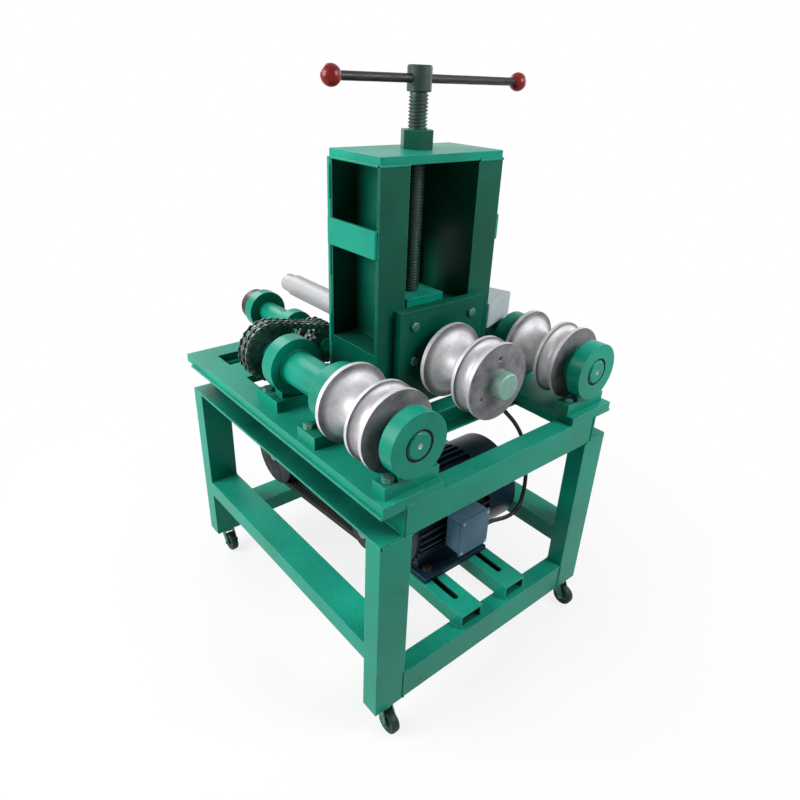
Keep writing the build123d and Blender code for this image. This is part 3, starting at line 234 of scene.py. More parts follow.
def edge_normal(wire, radius=EDGE_ROUND):
    """The rounded normal, and a mask that is 1 on edges."""
    rounded = wire.add("Bevel", {"samples": 6}, {"Radius": radius})
    flat = wire.add("NewGeometry", {}, {}, out="Normal")
    same = wire.add("VectorMath", {"operation": "DOT_PRODUCT"}, {0: rounded, 1: flat}, out="Value")
    return rounded, wire.ramp(same, 0.99, 0.86)


# %% [markdown]
# ## Green enamel
# The stand, the column and the bearing housings are brushed with one glossy emerald enamel. The column's
# uprights and slide get a darker copy of it, which is painted shade for faces that stand in shadow, and the
# motor and the boxes have enamels of their own. Thick paint isn't even: it clouds a little, keeps a fine
# orange peel and wears pale on chipped edges, and every edge also gets a thin painted highlight line. What
# faces up is dulled by dust, and its lighter colour is partly dust and partly a painted light on the tops.
# These come from noise on the object's own coordinates, so they stay put from any side. The channels'
# corners are darkened with painted shade, where an Ambient Occlusion node finds little open sky.

# %% Green enamel
CORNER = 0.08
CORNER_SHADE_SHARE = 0.12


def enamel(name, *chips):
    """Brushed glossy paint over steel, from four chips: deep, fresh, worn on edges, and dust with a painted
    light on tops.
    """
    deep, fresh, worn, dust_and_lit_top = (paint_chip(*chip) for chip in chips)
    material, wire, where = new_finish(name)
    rounded, edge = edge_normal(wire)
    cloud = wire.noise(where, 7, 4)
    specks = wire.noise(where, 90, 5, 0.7)
    peel = wire.noise(where, 420, 2)
    up = wire.part(wire.add("NewGeometry", {}, {}, out="Normal"), "Z")
    # Faces that look up get dust and a lighter colour, which is partly real dust and partly a painted light
    # on the tops.
    dust_and_top_light = wire.ramp(up, 0.75, 1.0) * wire.ramp(specks, 0.3, 0.7, 0.12, 0.3)
    chipped = edge * wire.ramp(specks, 0.48, 0.62)
    colour = wire.tint(wire.ramp(cloud, 0.3, 0.7), deep, fresh)
    colour = wire.tint(dust_and_top_light, colour, dust_and_lit_top)
    # Painted shade: the colour goes to a dark copy of the paint where the Ambient Occlusion node finds
    # corners and recesses. Here grime names that dark colour.
    local = {"samples": 6, "only_local": True}
    open_sky = wire.add("AmbientOcclusion", local, {"Distance": CORNER}, out="AO")
    grime = tuple(channel * CORNER_SHADE_SHARE for channel in deep[:3]) + (1,)
    corner_shade_mask = wire.ramp(open_sky, 0.85, 0.4) * wire.ramp(cloud, 0.3, 0.7, 0.95, 0.7)
    colour = wire.tint(corner_shade_mask, colour, grime)
    # Chipped edges are real wear. The even share along every edge is a painted highlight line.
    colour = wire.tint(chipped * 0.5 + edge * 0.25, colour, worn)
    return set_shader(material, {
        "Base Color": colour,
        "Roughness": wire.ramp(cloud, 0.3, 0.7, 0.26, 0.4) + 0.2 * dust_and_top_light,
        "Normal": wire.bump(peel, 0.00012, rounded),
        "Specular IOR Level": 0.14,
        "Coat Weight": 0.02,
        "Coat Roughness": 0.12,
    })


green_enamel = enamel("green_enamel", (0, 116, 95), (2, 136, 114), (92, 190, 168), (60, 176, 152))
# A darker copy of the green enamel: painted shade for the column's uprights and slide, which stand in
# shadow.
shaded_column_enamel = enamel("shaded_column_enamel", (0, 66, 51), (0, 82, 64), (58, 156, 132), (34, 134, 108))
motor_enamel = enamel("motor_enamel", (8, 24, 36), (22, 46, 64), (96, 124, 142), (48, 78, 98))
terminal_enamel = enamel("terminal_enamel", (54, 82, 100), (78, 108, 126), (156, 176, 186), (112, 140, 154))
box_enamel = enamel("box_enamel", (138, 150, 156), (166, 178, 184), (206, 212, 214), (196, 206, 210))
print("five enamels")

# %% [markdown]
# ## Turned steel
# The rollers and the pressing shaft came off a lathe. The tool leaves fine rings around the axis, and
# handling and pipe scale leave grey clouds over the bright metal. The rings need the distance from each
# part's own axis, so each turned part gets its own copy with its axis moved to the origin. The flat ends
# that face front and back are tinted darker, which is a painted dark reflection. Steel that is handled every
# day is matt rather than a mirror, so the shader's metal share is small. The brush left a thin film of green
# paint on the front end of the pressing shaft.


# %% Turned steel
STEEL_BRIGHT = paint_chip(198, 196, 199)
STEEL_DULL = paint_chip(124, 124, 128)
STEEL_END_SHADE = paint_chip(66, 67, 71)
STEEL_FILM = paint_chip(120, 168, 154)
SHAFT_BRIGHT = paint_chip(158, 158, 160)
STEEL_METAL, STEEL_GLOSS = 0.2, 0.15
FILM_FADE = 0.003


def turned_steel(name, sideways, height, bright=STEEL_BRIGHT, film_end=None):
    """Lathe-turned steel about an axis that runs front to back, with a film of paint on its front end."""
    material, wire, where = new_finish(name)
    rounded, edge = edge_normal(wire, 0.0012)
    centred = wire.add("Mapping", {}, {"Vector": where, "Location": (-sideways * MM, 0, -height * MM)})
    across, along, upwards = (wire.part(centred, axis) for axis in "XYZ")
    radius = wire.math("SQRT", across * across + upwards * upwards)
    turn = wire.math("ARCTAN2", across, upwards)
    track = wire.add("CombineXYZ", {}, {0: radius, 1: along, 2: turn * 0.004})
    rings = wire.noise(track, 900, 3, 0.6)
    scuffs = wire.noise(wire.add("CombineXYZ", {}, {0: radius, 1: along, 2: turn * 0.03}), 140, 4, 0.65)
    clouds = wire.noise(where, 26, 5, 0.62)
    dull = wire.ramp(clouds, 0.45, 0.75) * 0.25 + wire.ramp(scuffs, 0.45, 0.72) * 0.25
    colour = wire.tint(dull, bright, STEEL_DULL)
    # Painted dark reflection: the flat ends that face front and back are tinted darker.
    facing = wire.part(wire.add("NewGeometry", {}, {}, out="Normal"), "Y")
    shaded_end = wire.ramp(wire.math("ABSOLUTE", facing), 0.9, 0.985)
    colour = wire.tint(shaded_end * wire.ramp(clouds, 0.3, 0.7, 0.95, 0.6), colour, STEEL_END_SHADE)
    if film_end is not None:
        film = wire.ramp(along, film_end, film_end - FILM_FADE) * wire.ramp(clouds, 0.3, 0.7, 0.55, 0.95)
        colour = wire.tint(film, colour, STEEL_FILM)
    colour = wire.tint(edge * 0.6, colour, bright)
    return set_shader(material, {
        "Base Color": colour,
        "Metallic": STEEL_METAL,
        "Roughness": wire.ramp(rings, 0.3, 0.7, 0.42, 0.5) + 0.08 * dull,
        "Normal": wire.bump(rings, 0.00012, rounded),
        "Specular IOR Level": STEEL_GLOSS,
    })


# %% [markdown]
# ## Oiled steel, grease and iron
# Chains, sprockets and the screw are dark because oil holds dust on them. One recipe serves them all:
# a dark metal with clouds of dry grime, where the grime is rougher and no longer metallic.


# %% Dark metals
def oiled_metal(name, clean_chip, grime_chip, metallic, rough, grime_share):
    """Bare metal with patches of dry, dusty oil."""
    clean, grime = paint_chip(*clean_chip), paint_chip(*grime_chip)
    material, wire, where = new_finish(name)
    rounded, edge = edge_normal(wire, 0.0008)
    clouds = wire.noise(where, 38, 5, 0.6)
    grain = wire.noise(where, 520, 3)
    dirty = wire.ramp(clouds, 0.62 - grime_share, 0.72 - grime_share / 2)
    colour = wire.tint(dirty, clean, grime)
    bright = tuple(min(1, v * 1.8 + 0.05) for v in clean[:3]) + (1,)
    colour = wire.tint(edge * 0.5, colour, bright)
    return set_shader(material, {
        "Base Color": colour,
        "Metallic": metallic - 0.6 * metallic * dirty,
        "Roughness": rough + 0.25 * dirty + 0.1 * grain,
        "Normal": wire.bump(grain, 0.00008, rounded),
    })


chain_steel = oiled_metal("chain_steel", (96, 112, 106), (18, 40, 34), 0.9, 0.24, 0.2)
screw_steel = oiled_metal("screw_steel", (34, 62, 54), (12, 34, 28), 0.7, 0.3, 0.25)
shaft_steel = oiled_metal("shaft_steel", (150, 152, 150), (80, 84, 80), 1.0, 0.26, 0.12)
zinc_steel = oiled_metal("zinc_steel", (84, 140, 122), (14, 84, 64), 0.6, 0.28, 0.25)
bronze = oiled_metal("bronze", (190, 150, 88), (92, 72, 40), 1.0, 0.3, 0.15)
pulley_iron = oiled_metal("pulley_iron", (46, 54, 54), (20, 26, 26), 0.7, 0.42, 0.25)
black_steel = oiled_metal("black_steel", (40, 40, 40), (20, 20, 20), 0.75, 0.3, 0.2)
print("seven oiled metals")

# %% [markdown]
# ## Rubber and plastic
# The belts, wheels and cable are black rubber, and the knobs are moulded. They differ in gloss and in the
# size of their surface texture, so one recipe takes both as arguments.


# %% Rubber and plastic
def moulded(name, fresh_chip, scuffed_chip, rough, texture_scale, texture_depth):
    """Rubber or plastic from a mould, a little scuffed."""
    material, wire, where = new_finish(name)
    rounded, edge = edge_normal(wire, 0.001)
    scuffs = wire.noise(where, 60, 5, 0.65)
    grain = wire.noise(where, texture_scale, 2)
    worn = wire.ramp(scuffs, 0.5, 0.75) * 0.5 + edge * 0.3
    return set_shader(material, {
        "Base Color": wire.tint(worn, paint_chip(*fresh_chip), paint_chip(*scuffed_chip)),
        "Roughness": rough + 0.2 * worn,
        "Normal": wire.bump(grain, texture_depth, rounded),
        "Specular IOR Level": 0.25,
    })


belt_rubber = moulded("belt_rubber", (22, 24, 24), (52, 54, 54), 0.55, 700, 0.0002)
wheel_rubber = moulded("wheel_rubber", (14, 38, 31), (36, 74, 62), 0.5, 400, 0.0002)
cable_rubber = moulded("cable_rubber", (18, 18, 20), (44, 44, 46), 0.42, 900, 0.00008)
black_plastic = moulded("black_plastic", (24, 24, 26), (54, 54, 56), 0.38, 800, 0.00008)
red_plastic = moulded("red_plastic", (112, 8, 10), (140, 36, 34), 0.22, 300, 0.00001)
# A near-black rubber that is painted shade, for the ring in the counterbores' gaps.
gap_shade_rubber = moulded("gap_shade_rubber", (6, 8, 9), (14, 18, 18), 0.7, 700, 0.0001)
print("six moulded finishes")

# %% [markdown]
# ## A finish on every solid
# Most solids keep their shape and only need their finish. The record names a material slot for each one,
# so a table from slot to finish covers them all. The turned parts get their own copies of the steel, and
# the column's parts get the darker enamel, which is painted shade.

# %% Finishes on the solids
slot_finish = {
    "green_paint": green_enamel,
    "turned_steel": shaft_steel,
    "dark_steel": chain_steel,
    "screw_steel": screw_steel,
    "bronze": bronze,
    "zinc_steel": zinc_steel,
    "black_rubber": belt_rubber,
    "cable_sheath": cable_rubber,
    "black_plastic": black_plastic,
    "motor_paint": motor_enamel,
    "grey_paint": box_enamel,
    "black_steel": black_steel,
    "red_plastic": red_plastic,
    "cast_iron": pulley_iron,
    "wheel_rubber": wheel_rubber,
}
ROLLER_SPAN = 242
LOWER_AXIS = 658
CENTRE_AXIS = 681
ROLLER_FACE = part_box("centre_roller")[0].y
own_finish = {
    "left_roller": turned_steel("left_turned_steel", -ROLLER_SPAN, LOWER_AXIS),
    "right_roller": turned_steel("right_turned_steel", ROLLER_SPAN, LOWER_AXIS),
    "centre_roller": turned_steel("centre_turned_steel", 0, CENTRE_AXIS),
    "centre_shaft": turned_steel("tail_turned_steel", 0, CENTRE_AXIS, SHAFT_BRIGHT, ROLLER_FACE),
}
for column_piece in ("column_uprights", "slide_front_plate", "slide_block", "lead_nut"):
    own_finish[column_piece] = shaded_column_enamel
for row in frame["record"]["subparts"]:
    finish = own_finish.get(row["node"], slot_finish[row["material_slot"]])
    solid = nodes[row["node"]].data
    solid.materials.clear()
    solid.materials.append(finish)
print("finished", len(nodes), "solids")


# %% [markdown]
# ## From mesh to piece
# A new piece is built in a bmesh, in place. The last steps are always the same: weld doubles, turn the
# faces outwards, shade it smooth but keep its sharp edges, and tell the frame which body it moves with.


# %% Piece helpers
def keep_mesh(shape, name):
    """The mesh that a bmesh holds."""
    mesh = bpy.data.meshes.new(name)
    shape.to_mesh(mesh)
    shape.free()
    return mesh


def add_piece(name, shape, finish, body, slot, *replaced, sharp=35):
    """Turns a bmesh into a piece that rides on a body."""
    bmesh.ops.remove_doubles(shape, verts=shape.verts, dist=1e-6)
    bmesh.ops.recalc_face_normals(shape, faces=shape.faces)
    mesh = keep_mesh(shape, name)
    mesh.shade_smooth()
    mesh.set_sharp_from_angle(angle=radians(sharp))
    mesh.materials.append(finish)
    piece = link_object(name, mesh)
    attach(piece, body)
    if replaced:
        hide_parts(*replaced)
    print(name, len(mesh.polygons), "faces")
    return piece


# %% [markdown]
# ## The motor cable
# A black rubber cable runs from the motor's terminal box, out past the fan cowl, up inside the stand and
# into the switch box. It is one smooth NURBS spline through the same points as its solid.

# %% Motor cable
CABLE_RADIUS = 5
TERMINAL_EXIT = (83, 121, 263)
GLAND = (165.705, 251.121, 678)
cable_route = [
    TERMINAL_EXIT, (112, 121, 263), (139, 121, 255), (165, 121, 248), (190, 122, 246), (213, 125, 251),
    (233, 131, 264), (249, 139, 286), (260, 148, 316), (265, 157, 351), (263, 166, 388), (251, 174, 426),
    (229, 180, 462), (202, 184, 492), (177, 187, 518), (163, 196, 546), (161.5, 207, 571.5),
    (162, 224.5, 599), (163.7, 243, 627.3), (165.705, 251.121, 653), GLAND,
]
cable_curve = bpy.data.curves.new("motor_cable_sheath", "CURVE")
cable_curve.dimensions = "3D"
cable_curve.bevel_depth = CABLE_RADIUS * MM
cable_curve.bevel_resolution = 6
cable_curve.use_fill_caps = True
spline = cable_curve.splines.new("NURBS")
spline.points.add(len(cable_route) - 1)
for point, step in zip(spline.points, cable_route):
    point.co = (*place(*step), 1)
spline.order_u = 3
spline.use_endpoint_u = True
spline.resolution_u = 8
cable_curve.materials.append(cable_rubber)
cable = link_object("motor_cable_sheath", cable_curve)
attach(cable, "frame")
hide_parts("motor_cable")
tuple(place(*TERMINAL_EXIT))
print("cable route through", len(cable_route), "points")

# %% [markdown]
# ## The press screw
# The screw has a coarse right-hand thread. A ring of grooves would look alike at a glance, but a real
# thread climbs. A four-sided tooth section is spun around the axis while it rises by the lead each turn,
# and a plain core, neck, collar and head are spun from their outline. The cross hole for the bar is cut
# by a Boolean modifier, because no bmesh operator cuts one round body from another.

# %% Press screw
COLUMN_MIDDLE = 319
SCREW_RADIUS = 18
SCREW_LEAD = 6
THREAD_DEPTH = 2.4
THREAD_STEPS = 28
SPIN_STEPS = 56
UP = Vector((0, 0, 1))
SIDEWAYS = Vector((1, 0, 0))
BACK = Vector((0, 1, 0))
THREAD_BOTTOM, THREAD_TOP = 793, 1155
COLLAR_TOP, NECK_TOP = 774.7, 791.3
HEAD_BOTTOM, HEAD_TOP = 1158, 1201
HEAD_RADIUS = 22.5
BAR_HOLE = 7.7


def spin_outline(shape, points, centre, axis, steps=SPIN_STEPS):
    """Spins an open outline of points, in metres, into a round body."""
    corners = [shape.verts.new(point) for point in points]
    edges = [shape.edges.new(pair) for pair in zip(corners, corners[1:])]
    bmesh.ops.spin(
        shape, geom=corners + edges, cent=centre, axis=axis, angle=tau, steps=steps, use_merge=True,
    )


def screw_point(radius, height):
    return place(radius, COLUMN_MIDDLE, height)


screw_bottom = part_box("press_screw")[0].z / MM
screw_axis = place(0, COLUMN_MIDDLE, 0)
core = SCREW_RADIUS - THREAD_DEPTH
screw = bmesh.new()
screw_outline = (
    (0, screw_bottom), (22, screw_bottom), (24, screw_bottom + 2), (24, COLLAR_TOP), (12.5, COLLAR_TOP),
    (12.5, NECK_TOP), (core - 1.5, NECK_TOP), (core, NECK_TOP + 1.5), (core, HEAD_BOTTOM), (0, HEAD_BOTTOM),
)
spin_outline(screw, [screw_point(*step) for step in screw_outline], screw_axis, UP)
turns = (THREAD_TOP - THREAD_BOTTOM) / SCREW_LEAD
tooth = ((core - 0.5, -1.75), (SCREW_RADIUS, -0.95), (SCREW_RADIUS, 0.95), (core - 0.5, 1.75))
tooth_corners = [screw.verts.new(screw_point(radius, THREAD_BOTTOM + rise)) for radius, rise in tooth]
section = screw.faces.new(tooth_corners)
steps = int(turns * THREAD_STEPS)
bmesh.ops.spin(
    screw, geom=[section], cent=screw_axis, axis=UP, angle=turns * tau, steps=steps,
    dvec=UP * (THREAD_TOP - THREAD_BOTTOM) * MM / steps,
)
add_piece("press_screw_thread", screw, screw_steel, "screw", "screw_steel", "press_screw", sharp=30)


# %% Screw head
def cut_hole(piece, cutter_shape):
    """Cuts one shape from a piece, and keeps the result as the piece's mesh."""
    cutter = link_object("cutter", keep_mesh(cutter_shape, "cutter"))
    cut = piece.modifiers.new("cut", "BOOLEAN")
    cut.object = cutter
    whole = piece.data
    piece.data = bpy.data.meshes.new_from_object(piece.evaluated_get(bpy.context.evaluated_depsgraph_get()))
    piece.data.name = whole.name
    piece.modifiers.clear()
    bpy.data.meshes.remove(whole)
    bpy.data.meshes.remove(cutter.data)


head = bmesh.new()
head_outline = (
    (0, HEAD_BOTTOM), (HEAD_RADIUS - 1.5, HEAD_BOTTOM), (HEAD_RADIUS, HEAD_BOTTOM + 1.5),
    (HEAD_RADIUS, HEAD_TOP - 2.5), (HEAD_RADIUS - 2.5, HEAD_TOP), (0, HEAD_TOP),
)
spin_outline(head, [screw_point(*step) for step in head_outline], screw_axis, UP)
head_piece = add_piece("press_screw_head", head, screw_steel, "screw", "screw_steel", sharp=30)
drill = bmesh.new()
drill_place = Matrix.Translation(place(0, COLUMN_MIDDLE, (HEAD_BOTTOM + HEAD_TOP) / 2))
bmesh.ops.create_cone(
    drill, cap_ends=True, segments=32, radius1=BAR_HOLE * MM, radius2=BAR_HOLE * MM,
    depth=4 * HEAD_RADIUS * MM, matrix=drill_place @ Matrix.Rotation(pi / 2, 4, "Y"),
)
cut_hole(head_piece, drill)
print("head with its cross hole", len(head_piece.data.polygons), "faces")

# %% [markdown]
# ## Roller chains
# Three chains carry the drive: a double one to the left roller, one up to the jackshaft and one to the
# right roller. A chain is pairs of waisted side plates, narrow and wide in turn, on pins one pitch apart.
# One plate is drawn once and copied to each link, turned from pin to pin. The rollers between the plates
# are only on the straight runs, because on the sprockets the teeth hide them.

# %% Chain links
CHAIN_PITCH = 15.875
LINK_HEIGHT = 7.2
PLATE_THICKNESS = 1.5
LINK_WAIST = 0.74
CHAIN_ROLLER, CHAIN_PIN = 5.1, 2.6
INNER_PLATE, OUTER_PLATE, PIN_END = 5.65, 7.25, 8.5
TOOTH_TIP = 3.4


def chain_pitch_radius(teeth):
    return CHAIN_PITCH / 2 / sin(pi / teeth)


def link_plate():
    """One waisted side plate from the origin to the next pin along X, in millimetres."""
    shape = bmesh.new()
    turned = Matrix.Rotation(radians(15), 4, "Z")
    bmesh.ops.create_circle(shape, cap_ends=True, segments=12, radius=LINK_HEIGHT, matrix=turned)
    bmesh.ops.translate(shape, verts=[v for v in shape.verts if v.co.x > 0], vec=(CHAIN_PITCH, 0, 0))
    long_edges = [edge for edge in shape.edges if edge.calc_length() > CHAIN_PITCH]
    cut = bmesh.ops.subdivide_edges(shape, edges=long_edges, cuts=1)
    waist = [item for item in cut["geom_inner"] if isinstance(item, bmesh.types.BMVert)]
    bmesh.ops.scale(shape, verts=waist, vec=(1, LINK_WAIST, 1))
    bmesh.ops.solidify(shape, geom=shape.faces[:], thickness=PLATE_THICKNESS)
    bmesh.ops.translate(shape, verts=shape.verts, vec=(0, 0, PLATE_THICKNESS / 2))
    return shape


def round_pin(radius, half_length):
    """A pin or roller across the chain, with few sides because there are many."""
    shape = bmesh.new()
    bmesh.ops.create_cone(
        shape, cap_ends=True, segments=10, radius1=radius, radius2=radius, depth=2 * half_length,
    )
    return shape


def stamp(shape, mesh, matrix):
    """Adds a copy of a small mesh to the shape."""
    before = len(shape.verts)
    shape.from_mesh(mesh)
    shape.verts.ensure_lookup_table()
    bmesh.ops.transform(shape, matrix=matrix, verts=shape.verts[before:])


def loop_stations(wheel_1, wheel_2, pitch):
    """Places about one pitch apart on a tight loop around two wheels, each (x, y, radius)."""
    (x1, y1, r1), (x2, y2, r2) = wheel_1, wheel_2
    span = hypot(x2 - x1, y2 - y1)
    angle = atan2(y2 - y1, x2 - x1)
    spread = acos((r1 - r2) / span)
    run = sqrt(span * span - (r1 - r2) ** 2)
    lengths = (run, 2 * spread * r2, run, (tau - 2 * spread) * r1)
    count = 2 * round(sum(lengths) / pitch / 2)
    stations = []
    for index in range(count):
        along = index * sum(lengths) / count
        stretch = 0
        while along > lengths[stretch]:
            along -= lengths[stretch]
            stretch += 1
        if stretch in (1, 3):
            x, y, r = (x2, y2, r2) if stretch == 1 else (x1, y1, r1)
            turn = angle + spread - along / r if stretch == 1 else angle - spread - along / r
            stations.append((x + r * cos(turn), y + r * sin(turn)))
        else:
            side = spread if stretch == 0 else -spread
            share = along / run if stretch == 0 else 1 - along / run
            start = (x1 + r1 * cos(angle + side), y1 + r1 * sin(angle + side))
            end = (x2 + r2 * cos(angle + side), y2 + r2 * sin(angle + side))
            stations.append(tuple(a + (b - a) * share for a, b in zip(start, end)))
    return stations


plate_mesh = keep_mesh(link_plate(), "link_plate")
roller_mesh = keep_mesh(round_pin(CHAIN_ROLLER, INNER_PLATE - PLATE_THICKNESS / 2), "link_roller")
pin_mesh = keep_mesh(round_pin(CHAIN_PIN, PIN_END), "link_pin")
print("link plate", len(plate_mesh.polygons), "faces")


# %% Three chains
def chain(shape, depths, wheel_1, wheel_2):
    """Lays one chain around two sprockets, in one or two strands."""
    pins = loop_stations(wheel_1, wheel_2, CHAIN_PITCH)
    on_edge = Matrix(((1, 0, 0, 0), (0, 0, -1, 0), (0, 1, 0, 0), (0, 0, 0, 1)))
    for index, (x, z) in enumerate(pins):
        next_x, next_z = pins[(index + 1) % len(pins)]
        heading = Matrix.Rotation(atan2(next_z - z, next_x - x), 4, "Z")
        stretch = Matrix.Scale(hypot(next_x - x, next_z - z) / CHAIN_PITCH, 4, (1, 0, 0))
        offset = INNER_PLATE if index % 2 else OUTER_PLATE
        free = all(
            hypot(x - wheel_x, z - wheel_z) > radius + TOOTH_TIP + CHAIN_ROLLER
            for wheel_x, wheel_z, radius in (wheel_1, wheel_2)
        )
        for depth in depths:
            spot = Matrix.Translation(place(x, depth, z)) @ Matrix.Scale(MM, 4) @ on_edge
            for side in (-offset, offset):
                stamp(shape, plate_mesh, spot @ Matrix.Translation((0, 0, side)) @ heading @ stretch)
            stamp(shape, pin_mesh, spot)
            if free:
                stamp(shape, roller_mesh, spot)


ROLLER_TEETH, DRIVE_TEETH = 23, 15
JACK_AXIS, OUTPUT_AXIS = (-109.5, 645), (17.5, 385)
big_radius, small_radius = chain_pitch_radius(ROLLER_TEETH), chain_pitch_radius(DRIVE_TEETH)
left_wheel = (-ROLLER_SPAN, LOWER_AXIS, big_radius)
right_wheel = (ROLLER_SPAN, LOWER_AXIS, big_radius)
jack_wheel = (*JACK_AXIS, small_radius)
output_wheel = (*OUTPUT_AXIS, small_radius)
chains = bmesh.new()
chain(chains, (474, 492), left_wheel, jack_wheel)
chain(chains, (523,), jack_wheel, output_wheel)
chain(chains, (545,), right_wheel, output_wheel)
add_piece("drive_chain_links", chains, chain_steel, "frame", "dark_steel", "drive_chains", sharp=30)

# %% [markdown]
# ## V-belts
# Two belts of V section run from the motor to the reducer. The section is drawn once where the belt
# leaves the small pulley. It is then spun round one pulley, pulled straight to the other, spun round that
# one and joined to its start, which is just how the belt lies.

# %% Belts
BELT_TOP, BELT_FOOT, BELT_HEIGHT = 8.2, 6.4, 10
SMALL_PULLEY, BIG_PULLEY = 43, 78
BELT_PLACES = (-150.5, -131.5)
BELT_STEPS = 26
MOTOR_AXIS, WORM_AXIS = (250, 283), (640, 285)
belt_section = (
    (-BELT_TOP, 0.6), (BELT_TOP, 0.6), (BELT_FOOT, -BELT_HEIGHT), (-BELT_FOOT, -BELT_HEIGHT),
)


def edges_of(geometry):
    """Only the edges of what an operator gives back."""
    return [item for item in geometry if isinstance(item, bmesh.types.BMEdge)]


def belt(shape, middle):
    """One closed belt in the groove at a sideways place."""
    span = hypot(WORM_AXIS[0] - MOTOR_AXIS[0], WORM_AXIS[1] - MOTOR_AXIS[1])
    tilt = atan2(WORM_AXIS[1] - MOTOR_AXIS[1], WORM_AXIS[0] - MOTOR_AXIS[0])
    spread = acos((SMALL_PULLEY - BIG_PULLEY) / span)
    wrap = 2 * spread
    run = sqrt(span * span - (BIG_PULLEY - SMALL_PULLEY) ** 2)

    def rim(centre, radius, turn, across):
        return place(middle + across, centre[0] + radius * cos(turn), centre[1] + radius * sin(turn))

    start = tilt + spread
    corners = [
        shape.verts.new(rim(MOTOR_AXIS, SMALL_PULLEY + lift, start, across))
        for across, lift in belt_section
    ]
    ring = [shape.edges.new((corners[i], corners[(i + 1) % 4])) for i in range(4)]
    around = bmesh.ops.spin(
        shape, geom=ring, cent=place(middle, *MOTOR_AXIS), axis=SIDEWAYS, angle=tau - wrap,
        steps=BELT_STEPS,
    )
    heading = start + (tau - wrap)
    pulled = bmesh.ops.extrude_edge_only(shape, edges=edges_of(around["geom_last"]))["geom"]
    pull = Vector((0, -sin(heading), cos(heading))) * run * MM
    bmesh.ops.translate(shape, verts=[v for v in pulled if isinstance(v, bmesh.types.BMVert)], vec=pull)
    around = bmesh.ops.spin(
        shape, geom=edges_of(pulled), cent=place(middle, *WORM_AXIS), axis=SIDEWAYS, angle=wrap,
        steps=BELT_STEPS,
    )
    bmesh.ops.bridge_loops(shape, edges=edges_of(around["geom_last"]) + ring)


belts = bmesh.new()
for belt_place in BELT_PLACES:
    belt(belts, belt_place)
add_piece("v_belt_pair", belts, belt_rubber, "frame", "black_rubber", "v_belts")

# %% [markdown]
# ## Weld beads
# The stand is cut tube and channel, welded and painted over. Each joint shows a rippled bead, one ripple
# for each dip of the rod. A bead starts as a thin cylinder that is cut into short rings, and every other
# ring is swollen a little.

# %% Welds
BEAD_RADIUS = 2.6
RIPPLE = 2.6
BEAD_SIDES = 8


def weld(shape, start, end):
    """A straight bead between two places in millimetres. It swells in ripples of uneven size."""
    first, last = place(*start), place(*end)
    run = last - first
    rings = max(4, round(run.length / MM / RIPPLE))
    rod = bmesh.new()
    bmesh.ops.create_cone(
        rod, cap_ends=True, segments=BEAD_SIDES, radius1=BEAD_RADIUS * MM, radius2=BEAD_RADIUS * MM,
        depth=run.length,
    )
    lengthwise = [e for e in rod.edges if abs(e.verts[0].co.z - e.verts[1].co.z) > run.length / 2]
    bmesh.ops.subdivide_edges(rod, edges=lengthwise, cuts=rings - 1, use_grid_fill=True)
    for vert in rod.verts:
        ring = round((vert.co.z / run.length + 0.5) * rings)
        size = 1.0 + (0.14 if ring % 2 else -0.06) + 0.08 * sin(ring * 1.7)
        vert.co.x *= size
        vert.co.y *= size
    turned = UP.rotation_difference(run).to_matrix().to_4x4()
    rod_mesh = keep_mesh(rod, "weld_rod")
    stamp(shape, rod_mesh, Matrix.Translation((first + last) / 2) @ turned)
    bpy.data.meshes.remove(rod_mesh)


def weld_ring(shape, sideways, depth, height, ring_radius):
    """A bead around a shaft or tube that runs front to back."""
    steps = round(tau * ring_radius / RIPPLE)
    section = bmesh.ops.create_circle(
        shape, segments=BEAD_SIDES, radius=BEAD_RADIUS * MM,
        matrix=Matrix.Translation(place(sideways + ring_radius, depth, height)),
    )["verts"]
    edges = list({edge for vert in section for edge in vert.link_edges})
    bmesh.ops.spin(
        shape, geom=section + edges, cent=place(sideways, depth, height), axis=BACK, angle=tau, steps=steps,
        use_merge=True,
    )


# %% Beads on the stand and column
LEG_OUTER, LEG_INNER, CHANNEL_WEB = 316.8, 250, 265
LEG_DEPTH, REAR_LEG, STAND_BACK, LEG_TOP = 40, 692, 732, 485
CHANNEL_LOW, CHANNEL_HIGH, TABLE = 486, 549, 550
SIDE_RAIL_LOW, SIDE_RAIL_HIGH = 192, 232
FRONT_RAIL_LOW, FRONT_RAIL_HIGH = 66, 136
FLANGE_INNER, FLANGE_OUTER, FLANGE_FRONT, FLANGE_BACK = 85, 150, 235, 253
TOP_INNER, TOP_FRONT, TOP_BACK, COLUMN_TOP = 86, 240, 380, 1048
TIE_LOW, TIE_HIGH, TIE_ENDS = 893, 942, (238, 383)
SEAM, SEAM_DEPTH, SEAM_STARTS = 60, 386, (560, 690, 830, 975)
HOUSING_ENDS, HOUSING_NECK = (237, 374), 36
RAIL_EDGES, RAIL_START = (-85, -20, 55, 120), 12

